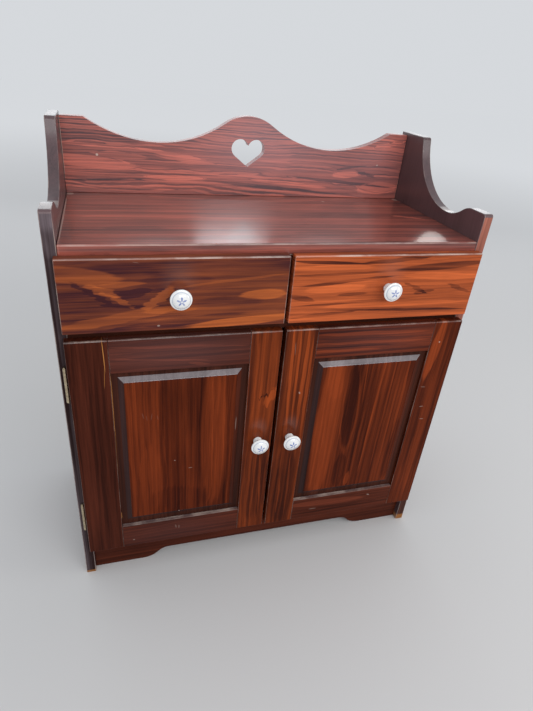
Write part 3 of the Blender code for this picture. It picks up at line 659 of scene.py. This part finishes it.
def soft_ovals(graph, flat, ovals, core, rim):
    """The sum of ovals on a board's face, each full as far out as its core and gone at its rim."""
    total = 0.0
    for x, z, reach_x, reach_z, turn, amount in ovals:
        local_frame = {
            "Vector": flat,
            "Location": (x * MM, z * MM, 0),
            "Rotation": (0, 0, math.radians(turn)),
            "Scale": (reach_x * MM, reach_z * MM, 1),
        }
        local = graph.node("ShaderNodeMapping", local_frame, vector_type="TEXTURE").outputs[0]
        soft = graph.step(graph.vector("LENGTH", local), core, rim, amount, 0.0)
        total = graph.math("ADD", soft, total)
    return total


def show_side(graph, node, grain):
    """1 near the front or top of a board, 0 at its back or underside, 1 right through an upright side."""
    thickness = board_axes(node, grain)[2]
    if "XYZ"[thickness] == "X":
        return 1.0
    low, high = (corner[thickness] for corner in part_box(node))
    place = graph.split(graph.place())[thickness]
    first, last = (share * (high - low) for share in SHOWN_DEPTH)
    if "XYZ"[thickness] == "Y":
        return graph.step(place, low + first, low + last, 1.0, 0.0)
    return graph.step(place, high - last, high - first)


def pine(node, grain, stain, cut, seed, worn=0.0, gloss="matt", halo=None, part="pine"):
    """Stained pine for one board, or for its arrises, whose pale worn colour is partly wear and partly
    painted highlight.
    """
    material, graph, shader = new_material(f"{node}_{part}")
    dark, light = STAINS[stain]
    inputs = {"Board": board_place(graph, node, grain), "Seed": seed, "Dark": dark, "Pale": light}
    inputs.update({field.capitalize(): value for field, value in zip(CUT_FIELDS, CUTS[cut])})
    if node in FIGURES:
        flat = face_place(graph, node, grain, seed, *FIGURE_DRIFT)
        inputs["Figure"] = soft_ovals(graph, flat, FIGURES[node], *FIGURE_EDGE)
    group = graph.tree.nodes.new("ShaderNodeGroup")
    group.node_tree = PINE
    for name, value in inputs.items():
        graph.feed(group.inputs[name], value)
    colour = group.outputs["Colour"]
    # Nicks and cracks, and the painted sheen of light on the polish
    for marks, shown, edge in MARKS_AND_SHEEN:
        if node in marks:
            flat = face_place(graph, node, grain, seed, *MARK_DRIFT)
            marked = soft_ovals(graph, flat, marks[node], *edge)
            marked = graph.math("MULTIPLY", marked, show_side(graph, node, grain))
            colour = graph.mix(marked, colour, shown)
    # Pale worn wood, partly wear and partly painted highlight on arrises, rolled edges, ledges and tops
    if worn:
        rub = graph.noise(inputs["Board"], (22, 40, 40), seed + 2.0, 3.0, 0.6)
        bare = graph.step(rub, -0.08, 0.16, 0.12 * worn, worn)
        colour = graph.mix(bare, colour, PALE_WEAR_AND_HIGHLIGHT)
    graph.feed(shader.inputs["Base Color"], colour)
    graph.feed(shader.inputs["Roughness"], group.outputs["Roughness"])
    for socket, value in zip(GLOSS_SOCKETS, GLOSS[gloss]):
        shader.inputs[socket].default_value = value
    if halo:
        parts = graph.split(graph.place())
        polish = soft_ovals(graph, graph.join(parts[0], parts[2], 0.0), [halo], *SHEEN_EDGE)
        graph.feed(shader.inputs["Coat Weight"], polish)
        for socket, value in HANDLED_COAT.items():
            shader.inputs[socket].default_value = value
    graph.relief(shader, group.outputs["Height"], 0.35, 0.12 * MM)
    return material


# ---------------------------------------------------------------- boards


def finished_mesh(name, solid):
    """Turns a bmesh into a mesh, with its normals outward."""
    bmesh.ops.recalc_face_normals(solid, faces=solid.faces)
    mesh = bpy.data.meshes.new(f"{name}_mesh")
    solid.to_mesh(mesh)
    solid.free()
    return mesh


def back_middle(node):
    """The middle of a node's box, at its back."""
    low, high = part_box(node)
    return Vector(((low.x + high.x) / 2, high.y, (low.z + high.z) / 2))


def place_piece(name, mesh, body, slot, *replaced):
    """Puts a finished mesh in the scene, riding on its body."""
    piece = bpy.data.objects.new(name, mesh)
    bpy.context.scene.collection.objects.link(piece)
    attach(piece, body)
    if replaced:
        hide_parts(*replaced)
    return piece


def carried_over(node):
    """A CAD node as a finished piece, with its triangles welded back into whole faces."""
    solid = bmesh.new()
    solid.from_mesh(NODES[node].data)
    bmesh.ops.remove_doubles(solid, verts=solid.verts, dist=0.01 * MM)
    bmesh.ops.dissolve_limit(solid, angle_limit=math.radians(0.5), verts=solid.verts, edges=solid.edges)
    return place_piece(f"{node}_finished", finished_mesh(node, solid), BODY_OF[node], SLOT_OF[node], node)


def smooth(piece, angle):
    """Smooth shading, sharp at edges that turn by more than the angle in degrees."""
    piece.data.shade_smooth()
    piece.data.set_sharp_from_angle(angle=math.radians(angle))
    weighting = piece.modifiers.new("even faces", "WEIGHTED_NORMAL")
    weighting.keep_sharp = True
    return piece


def round_top_edge(piece, node, arris, size):
    """Rolls the upper front edge of a board over to a larger radius."""
    low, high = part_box(node)
    corner = Vector((low.y, high.z))
    reach = arris + 0.05 * MM
    for vertex in piece.data.vertices:
        offset = Vector((vertex.co.y, vertex.co.z)) - corner
        if abs(offset.x) < reach and abs(offset.y) < reach:
            vertex.co.y, vertex.co.z = corner + offset * (size / arris)


def board(node, grain, stain, cut, seed, worn=0.55, gloss="matt", halo=None, rolled=None, parts=()):
    """A board in its own pine, with pale arrises that are partly wear and partly painted highlight, and any
    faces finished apart from the rest.
    """
    piece = carried_over(node)
    faces = piece.data.polygons
    piece.data.materials.append(pine(node, grain, stain, cut, seed, gloss=gloss, halo=halo))
    for index, (part, chosen, part_stain, part_gloss, wear_and_highlight) in enumerate(parts):
        made = pine(node, grain, part_stain, cut, seed, wear_and_highlight, part_gloss, part=part)
        piece.data.materials.append(made)
        for face in faces:
            if chosen(face):
                face.material_index = index + 1
    # The rolled edge and the arrises are paler: partly wear, partly painted highlight
    if rolled:
        round_top_edge(piece, node, *rolled)
        piece.data.materials.append(pine(node, grain, stain, cut, seed, worn, gloss="satin", part="roll"))
    if worn:
        piece.data.materials.append(pine(node, grain, stain, cut, seed, worn, gloss="satin", part="arris"))
        thickness = board_axes(node, grain)[2]
        last = len(piece.data.materials) - 1
        for face in faces:
            leans = [abs(value) for value in face.normal]
            edge_on = leans.pop(thickness)
            corner = edge_on < ARRIS_LEAN[1] and min(leans) > CORNER_LEAN and face.area < CORNER_AREA
            if rolled and face.normal.y < -0.2 and face.normal.z > 0.2:
                face.material_index = last - 1
            elif ARRIS_LEAN[0] < edge_on < ARRIS_LEAN[1] or corner:
                face.material_index = last
    return smooth(piece, 20)


def on_front_edge(face):
    """On the long front edge of a side panel, but not on its sweep or horn."""
    return face.normal.y < -0.9 and face.center.z < MID_HEIGHT


def faces_up(face):
    return face.normal.z > 0.97


def on_horn_top(face):
    return faces_up(face) and face.center.z > HORN_HEIGHT


def faces_left(face):
    return face.normal.x < -0.99


def faces_right(face):
    return face.normal.x > 0.99


def on_bevel(face):
    return -0.99 < face.normal.y < -0.3


def on_top_bevel(face):
    return on_bevel(face) and face.normal.z > 0.2


def on_right_bevel(face):
    return on_bevel(face) and face.normal.x > 0.2


def on_ledge(face):
    return face.normal.z > 0.9


def on_margin(face):
    """On the flat margin round a door panel's raised field."""
    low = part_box("door_left_panel")[0]
    return face.normal.y < -0.99 and face.center.y > low.y + FIELD_RISE


def carcass_boards():
    """The boards that stay put. Each has its own seed, so no two share their grain."""
    for index, side in enumerate(SIDES):
        left = side == "left"
        edges = ("edge", on_front_edge, "rim" if left else "edge", "matt", 0.0)
        # Up-facing tops and the horn's top take the pale grey gloss stain, a painted reflection of the sky,
        # and pale worn wood that is partly wear and partly painted highlight
        tops = ("top", faces_up, "gloss", "glassy", 0.4)
        horn = ("horn", on_horn_top, "gloss", "waxed", 0.4)
        outside = ("outside", faces_left if left else faces_right, "deep", "satin", 0.0)
        parts = (edges, tops, horn, outside)
        board(f"side_panel_{side}", "Z", "shade", "side", 3.0 + 11 * index, gloss="satin", parts=parts)
    board("counter_top", "X", "top", "counter", 8.0, 0.3, gloss="polished", rolled=BROAD_ROLL)
    board("splash_back", "X", "red", "splash", 15.0, 0.25, gloss="satin")
    board("apron", "X", "deep", "rail", 21.0)
    board("middle_shelf", "X", "margin", "rail", 25.0)
    board("floor_board", "X", "deep", "rail", 29.0)
    board("drawer_divider", "Z", "deep", "rail", 33.0)
    board("back_panel", "Z", "ply", "veneer", 37.0, worn=0.0, gloss="bare")


def knob_halo(name, reach_x, reach_z, amount):
    """Where hands have polished the wood above a knob, as an oval in millimetres."""
    low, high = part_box(f"{name}_knob")
    middle = (low + high) / 2 / MM
    above = 26
    return (middle.x, middle.z + above, reach_x, reach_z, 0, amount)


def door_boards(side, seed):
    """A door's frame and raised panel, with painted shade in the panel's margin, painted shade on its left
    and lower bevels and a painted highlight on its top bevel.
    """
    name = f"door_{side}"
    outer = "deep" if side == "left" else "door"
    halo = knob_halo(name, 20, 30, 0.5)
    board(f"{name}_hinge_stile", "Z", outer, "stile", seed, 0.3, rolled=FINE_ROLL)
    board(f"{name}_latch_stile", "Z", "latch", "stile", seed + 3, 0.3, halo=halo, rolled=FINE_ROLL)
    board(f"{name}_top_rail", "X", outer, "rail", seed + 5, 0.3, rolled=FINE_ROLL)
    # The ledge's top is pale worn wood: partly wear, partly painted highlight
    ledge = ("ledge", on_ledge, "shade", "satin", 0.7)
    board(f"{name}_bottom_rail", "X", "deep", "rail", seed + 7, 0.3, rolled=FINE_ROLL, parts=(ledge,))
    # Painted shade in the margin and on the left and lower bevels, a painted highlight in pale grey on the
    # top bevel, and the plain deep stain on the right bevel
    margin = ("margin", on_margin, "margin", "matt", 0.0)
    bevel = ("bevel", on_bevel, "bevel", "matt", 0.0)
    highlit_top_bevel = ("highlit_top_bevel", on_top_bevel, "gloss", "glassy", 0.0)
    right_bevel = ("right_bevel", on_right_bevel, "deep", "matt", 0.0)
    parts = (margin, bevel, highlit_top_bevel, right_bevel)
    board(f"{name}_panel", "Z", "door", "panel", seed + 9, worn=0.0, parts=parts)


def drawer_boards(side, seed):
    """A stained drawer front on a box of raw pine and plywood."""
    name = f"drawer_{side}"
    stain, cut = ("umber", "flame") if side == "left" else ("amber", "bright")
    board(f"{name}_front", "X", stain, cut, seed, halo=knob_halo(name, 34, 44, 0.30), rolled=BROAD_ROLL)
    for offset, place in enumerate(("outer_side", "inner_side")):
        board(f"{name}_{place}", "Y", "raw", "rail", seed + 3 + offset, worn=0.0, gloss="bare")
    board(f"{name}_back", "X", "raw", "rail", seed + 6, worn=0.0, gloss="bare")
    board(f"{name}_base", "X", "ply", "veneer", seed + 8, worn=0.0, gloss="bare")


# ---------------------------------------------------------------- knobs


def arc_points(centre, radii, first, last, steps):
    """Points on an ellipse's arc in (radius, distance), between two angles in degrees."""
    points = []
    for index in range(steps + 1):
        angle = math.radians(first + (last - first) * index / steps)
        points.append((centre[0] + radii[0] * math.cos(angle), centre[1] + radii[1] * math.sin(angle)))
    return points


def turned(name, profile, centre, steps):
    """A mesh turned about the Y axis through the centre; a profile distance runs towards -Y."""
    solid = bmesh.new()
    rings = []
    for radius, distance in profile:
        count = steps if radius > 0 else 1
        ring = []
        for index in range(count):
            angle = 2 * math.pi * index / count
            offset = Vector((radius * math.cos(angle), -distance, radius * math.sin(angle)))
            ring.append(solid.verts.new(centre + offset))
        rings.append(ring)
    for before, after in zip(rings, rings[1:]):
        for index in range(steps):
            following = (index + 1) % steps
            corners = [before[index % len(before)], before[following % len(before)]]
            corners += [after[following % len(after)], after[index % len(after)]]
            solid.faces.new(dict.fromkeys(corners))
    return finished_mesh(name, solid)


def knob_outline(radius, length):
    """Blind hole, foot ring, waist, flared underside, rounded rim and a shallow dome."""
    bore = 2.4 * MM
    foot = 8.2 * MM
    waist = 6 * MM
    rim = length - 8.6 * MM
    edge = 2 * MM
    outline = [(0, 14 * MM), (bore, 14 * MM), (bore, 0), (foot - 0.4 * MM, 0)]
    outline += arc_points((foot - 0.4 * MM, 0.4 * MM), (0.4 * MM, 0.4 * MM), -70, 0, 3)
    outline += arc_points((foot - 0.8 * MM, 1.9 * MM), (0.8 * MM, 0.7 * MM), 0, 80, 4)
    outline += arc_points((waist + 3.2 * MM, 7.6 * MM), (3.2 * MM, 4.2 * MM), -120, -180, 6)
    outline += arc_points((waist + 8.2 * MM, 7.6 * MM), (8.2 * MM, rim - 9 * MM), 180, 100, 9)
    outline += arc_points((radius - edge, rim + edge * 0.2), (edge, edge), -65, 40, 8)
    outline += arc_points((0, rim - 3.5 * MM), (radius * 0.985, length - rim + 3.5 * MM), 28, 84, 14)
    return outline + [(0, length)]


def porcelain(name, centre, radius, front):
    """White glaze with a fine blue line near the rim and a small five-petal flower."""
    material, graph, shader = new_material(name)
    place = graph.place()
    x, y, z = graph.split(graph.vector("SUBTRACT", place, centre))
    distance = graph.vector("LENGTH", graph.join(x, z, 0.0))
    wobble = graph.noise(place, [900] * 3, 1.0, 2.0)
    drawn = graph.math("ADD", distance, graph.scaled(wobble, 0.9 * MM))
    angle = graph.math("ARCTAN2", x, z)
    petals = graph.math("COSINE", graph.scaled(angle, 5.0))
    flower = graph.math("MULTIPLY", graph.scaled(petals, 0.42, 0.58), radius * FLOWER_REACH)
    inside = graph.step(graph.math("SUBTRACT", drawn, flower), -0.5 * MM, 0.4 * MM, 1.0, 0.0)
    eye = graph.step(distance, 0.9 * MM, 1.5 * MM)
    inside = graph.math("MULTIPLY", inside, eye)
    wash = graph.scaled(graph.noise(place, [520] * 3, 4.0, 2.0), 1.6, 0.72)
    inside = graph.math("MULTIPLY", inside, wash)
    off_line = graph.math("ABSOLUTE", graph.math("SUBTRACT", drawn, radius * GLAZE_RING))
    line = graph.step(off_line, 0.25 * MM, 0.75 * MM, 0.75, 0.0)
    facing = graph.step(y, -front + 6 * MM, -front + 9 * MM, 1.0, 0.0)
    colour = graph.mix(graph.math("MULTIPLY", line, facing), PORCELAIN_WHITE, GLAZE_LINE)
    colour = graph.mix(graph.math("MULTIPLY", inside, facing), colour, GLAZE_BLUE)
    graph.feed(shader.inputs["Base Color"], colour)
    pooling = graph.noise(place, [160] * 3, 6.0, 1.0)
    graph.feed(shader.inputs["Roughness"], graph.scaled(pooling, 0.08, 0.11))
    shader.inputs["Coat Weight"].default_value = 0.6
    shader.inputs["Coat Roughness"].default_value = 0.04
    graph.relief(shader, pooling, 0.3, 0.3 * MM)
    return material


def knobs():
    """Porcelain knobs in place of the plain CAD ones, to the same radius and length."""
    for node in sorted(NODES):
        if not node.endswith("_knob"):
            continue
        low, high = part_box(node)
        centre = back_middle(node)
        radius = (high.x - low.x) / 2
        length = high.y - low.y
        mesh = turned(node, knob_outline(radius, length), centre, 72)
        piece = place_piece(f"{node}_glazed", mesh, BODY_OF[node], SLOT_OF[node], node)
        mesh.materials.append(porcelain(f"{node}_glaze", centre, radius, length))
        smooth(piece, 50)


# ---------------------------------------------------------------- metal and plastic


def metal(name, bright, dull, roughness, scale):
    """A metal with patches of tarnish and fine rubbing marks."""
    material, graph, shader = new_material(name)
    place = graph.place()
    patch = graph.noise(place, [scale] * 3, 2.0, 4.0, 0.6)
    rub = graph.noise(place, (scale * 9, scale * 9, scale * 0.8), 5.0, 2.0)
    tarnish = graph.step(graph.math("ADD", patch, graph.scaled(rub, 0.35)), -0.12, 0.18)
    graph.feed(shader.inputs["Base Color"], graph.mix(tarnish, bright, dull))
    graph.feed(shader.inputs["Roughness"], graph.scaled(tarnish, 0.22, roughness))
    shader.inputs["Metallic"].default_value = 1.0
    graph.relief(shader, rub, 0.4, 0.05 * MM)
    return material


def speckled(name, ground, flecks):
    """A dull surface with a fine grain and paler flecks, for moulded plastic and for the painted shade in
    screw slots and countersinks.
    """
    material, graph, shader = new_material(name)
    place = graph.place()
    grain = graph.noise(place, [2400] * 3, 1.0, 2.0)
    cloud = graph.noise(place, [140] * 3, 3.0, 3.0)
    fleck = graph.step(graph.math("ADD", cloud, graph.scaled(grain, 0.5)), 0.02, 0.22)
    graph.feed(shader.inputs["Base Color"], graph.mix(fleck, ground, flecks))
    graph.feed(shader.inputs["Roughness"], graph.scaled(grain, 0.2, 0.45))
    graph.relief(shader, grain, 0.5, 0.05 * MM)
    return material


def half_round(radius, half_slot, side, steps=10):
    """One of the two lands beside a screw's slot, as a flat outline."""
    first = math.asin(half_slot / radius)
    angles = [first + (math.pi - 2 * first) * index / steps for index in range(steps + 1)]
    return [(radius * math.cos(angle) * side, radius * math.sin(angle) * side) for angle in angles]


def screw_head(name, centre, facing, radius, proud, turn, body, slot, finish):
    """A flush slotted screw head: two lands on a dark disc, which paints the shade in the slot and
    countersink.
    """
    solid = bmesh.new()
    angles = [math.tau * index / 24 for index in range(24)]
    rim = radius * COUNTERSINK
    sink = [(rim * math.cos(angle), rim * math.sin(angle)) for angle in angles]
    floor = proud * SLOT_FLOOR
    layers = [(half_round(radius, radius * SLOT_HALF, side), floor / 2, proud, 0) for side in (1, -1)]
    # The disc beneath the lands takes the second finish, painted shade
    layers.append((sink, -SCREW_DEPTH, floor, 1))
    for outline, bottom, top, finish_index in layers:
        lower, upper = [[solid.verts.new((x, y, level)) for x, y in outline] for level in (bottom, top)]
        made = [solid.faces.new(lower), solid.faces.new(upper)]
        for index in range(len(outline)):
            after = (index + 1) % len(outline)
            made.append(solid.faces.new((lower[index], lower[after], upper[after], upper[index])))
        for face in made:
            face.material_index = finish_index
    spin = Vector(facing).to_track_quat("Z", "Y") @ Quaternion((0, 0, 1), math.radians(turn))
    solid.transform(Matrix.Translation(centre) @ spin.to_matrix().to_4x4())
    mesh = finished_mesh(name, solid)
    for material in finish:
        mesh.materials.append(material)
    smooth(place_piece(name, mesh, body, slot), 30)


def hinge_screws(finish):
    """Three flush screws in each leaf, on the face that shows when the door is open."""
    for node in sorted(NODES):
        if not node.endswith("_leaf"):
            continue
        low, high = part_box(node)
        outward = -1 if low.x < 0 else 1
        tip = high.x if low.x < 0 else low.x
        on_case = node.endswith("case_leaf")
        y = leaf_plate(node)[0 if on_case else 1]
        for index, share in enumerate((0.16, 0.50, 0.84)):
            centre = Vector((tip + outward * HINGE_SCREW_INSET, y, low.z + share * (high.z - low.z)))
            facing = (0, -1 if on_case else 1, 0)
            turn = 35 + 50 * index
            name = f"{node}_screw_{index}"
            screw_head(name, centre, facing, HINGE_SCREW, FLUSH, turn, BODY_OF[node], "brass", finish)


def leaf_plate(node):
    """Front and back of a leaf's flat plate, beside its knuckles."""
    low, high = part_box(node)
    tip = high.x if low.x < 0 else low.x
    depths = [vertex.co.y for vertex in NODES[node].data.vertices if abs(vertex.co.x - tip) < 0.05 * MM]
    return min(depths), max(depths)


def catch_details(side, steel, painted_slot_shade):
    """Pole plates and mounting screws of a magnetic catch, and the screw of its strike."""
    finish = (steel, painted_slot_shade)
    low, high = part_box(f"catch_{side}")
    middle = (low + high) / 2
    for index, height in enumerate((0.32, 0.68)):
        name = f"catch_{side}_pole_{index}"
        z = low.z + height * (high.z - low.z)
        near = (low.x + POLE_INSET, low.y - POLE_PROUD, z - POLE_HALF_WIDTH)
        far = (high.x - POLE_INSET, low.y + POLE_DEPTH, z + POLE_HALF_WIDTH)
        mesh = box_mesh(name, near, far)
        mesh.materials.append(steel)
        place_piece(name, mesh, "carcass", "steel")
    for index, sign in enumerate((-1, 1)):
        name = f"catch_{side}_screw_{index}"
        centre = Vector((middle.x + sign * CATCH_SCREW_SPREAD, middle.y, low.z))
        screw_head(name, centre, (0, 0, -1), CATCH_SCREW, PAN_HEIGHT, 70 * sign, "carcass", "steel", finish)
    name = f"door_{side}_strike"
    centre = back_middle(name)
    screw_head(f"{name}_screw", centre, (0, 1, 0), CATCH_SCREW, FLUSH, 20, f"door_{side}", "steel", finish)


def box_mesh(name, low, high):
    """A box between two corners."""
    solid = bmesh.new()
    bmesh.ops.create_cube(solid, size=1.0)
    for vertex in solid.verts:
        vertex.co = [low[axis] if vertex.co[axis] < 0 else high[axis] for axis in range(3)]
    return finished_mesh(name, solid)


def back_nails(steel):
    """Nail heads round the back panel, all but flush with it."""
    low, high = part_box("back_panel")
    left, right = low.x + NAIL_INSET, high.x - NAIL_INSET
    bottom, top = low.z + NAIL_INSET, high.z - NAIL_INSET
    places = []
    for index in range(8):
        z = bottom + (top - bottom) * index / 7
        places += [(left, z), (right, z)]
    for index in range(1, 6):
        x = left + (right - left) * index / 6
        places += [(x, bottom), (x, top)]
    profile = [(0, -NAIL_PROUD), (NAIL_FLAT, -NAIL_PROUD)]
    profile += [(NAIL_RADIUS, 0.1 * MM), (NAIL_RADIUS, 0.6 * MM), (0, 0.6 * MM)]
    for index, (x, z) in enumerate(places):
        mesh = turned(f"back_nail_{index}", profile, Vector((x, high.y, z)), 14)
        mesh.materials.append(steel)
        smooth(place_piece(f"back_nail_{index}", mesh, "carcass", "steel"), 40)


def fittings():
    """Hinges, screws, catches and strike plates keep their CAD shapes in worn metal and plastic."""
    brass = metal("aged_brass", BRASS_BRIGHT, BRASS_DULL, 0.26, 210)
    steel = metal("dull_steel", STEEL_BRIGHT, STEEL_DULL, 0.30, 240)
    plastic = speckled("brown_plastic", PLASTIC_BROWN, PLASTIC_FLECK)
    finishes = {"brass": brass, "steel": steel, "brown_plastic": plastic}
    for node, slot in SLOT_OF.items():
        if slot not in finishes:
            continue
        piece = carried_over(node)
        piece.data.materials.append(finishes[slot])
        smooth(piece, 38)
    # Painted shade for the slots and countersinks of the screws
    painted_slot_shade = speckled("painted_slot_shade", SLOT_SHADE, SLOT_SHADE_FLECK)
    hinge_screws((brass, painted_slot_shade))
    for side in SIDES:
        catch_details(side, steel, painted_slot_shade)
    back_nails(steel)


# ---------------------------------------------------------------- stage, light and camera


def pale_floor():
    """A plain floor that lightens with distance until it meets the background."""
    mesh = bpy.data.meshes.new("floor")
    corners = [(-FLOOR_REACH, -FLOOR_REACH, 0), (FLOOR_REACH, -FLOOR_REACH, 0)]
    corners += [(FLOOR_REACH, FLOOR_REACH, 0), (-FLOOR_REACH, FLOOR_REACH, 0)]
    mesh.from_pydata(corners, [], [(0, 1, 2, 3)])
    floor = bpy.data.objects.new("floor", mesh)
    bpy.context.scene.collection.objects.link(floor)
    material, graph, shader = new_material("pale_floor")
    far = graph.step(graph.vector("LENGTH", graph.place()), *FLOOR_FADE)
    graph.feed(shader.inputs["Base Color"], graph.mix(far, FLOOR_PALE, FLOOR_FAR))
    shader.inputs["Roughness"].default_value = 1.0
    shader.inputs["Specular IOR Level"].default_value = 0.0
    mesh.materials.append(material)


def area_light(name, place, target, width, height, radiance, colour, shape):
    """A soft box of the given size, turned to its target, hidden from the camera."""
    lamp = bpy.data.lights.new(name, "AREA")
    lamp.shape = shape
    lamp.size = width
    lamp.size_y = height
    lamp.energy = radiance * math.pi * width * height
    lamp.color = colour
    holder = bpy.data.objects.new(name, lamp)
    holder.location = place
    holder.rotation_euler = (Vector(target) - Vector(place)).to_track_quat("-Z", "Y").to_euler()
    holder.visible_camera = False
    bpy.context.scene.collection.objects.link(holder)
    return holder


def all_but(piece):
    """A light-linking collection that leaves one piece out."""
    linked = bpy.data.collections.new(f"all but {piece}")
    linked.objects.link(bpy.data.objects[piece])
    linked.collection_objects[0].light_linking.link_state = "EXCLUDE"
    return linked


def studio():
    """Soft boxes and windows.

    The low window leaves the counter out, to spare it a hard-edged glare, and the splash-back doesn't
    shade the counter from the high window.
    """
    world = bpy.data.worlds.new("studio")
    bpy.context.scene.world = world
    world.use_nodes = True
    backdrop = world.node_tree.nodes["Background"]
    backdrop.inputs["Color"].default_value = SKY_COLOUR
    backdrop.inputs["Strength"].default_value = SKY_STRENGTH
    lamps = {name: area_light(name, *facts) for name, facts in LAMPS.items()}
    lamps["low_window"].light_linking.receiver_collection = all_but("counter_top_finished")
    lamps["high_window"].light_linking.blocker_collection = all_but("splash_back_finished")
    bpy.context.scene.view_settings.view_transform = "Standard"


def camera():
    """Above and to the left, looking down at the doors, leaning a little to one side."""
    turn, tilt, lean = (math.radians(angle) for angle in (CAMERA_TURN, CAMERA_TILT, CAMERA_LEAN))
    look = Vector((math.sin(turn) * math.cos(tilt), math.cos(turn) * math.cos(tilt), -math.sin(tilt)))
    data = bpy.data.cameras.new("camera")
    data.sensor_width = CAMERA_SENSOR
    data.lens = CAMERA_LENS
    viewer = bpy.data.objects.new("camera", data)
    viewer.rotation_mode = "QUATERNION"
    viewer.rotation_quaternion = look.to_track_quat("-Z", "Y") @ Quaternion((0, 0, 1), lean)
    viewer.location = CAMERA_PLACE
    bpy.context.scene.collection.objects.link(viewer)
    bpy.context.scene.camera = viewer


carcass_boards()
for number, side in enumerate(SIDES):
    door_boards(side, 41.0 + 20 * number)
    drawer_boards(side, 81.0 + 20 * number)
knobs()
fittings()
pale_floor()
studio()
camera()
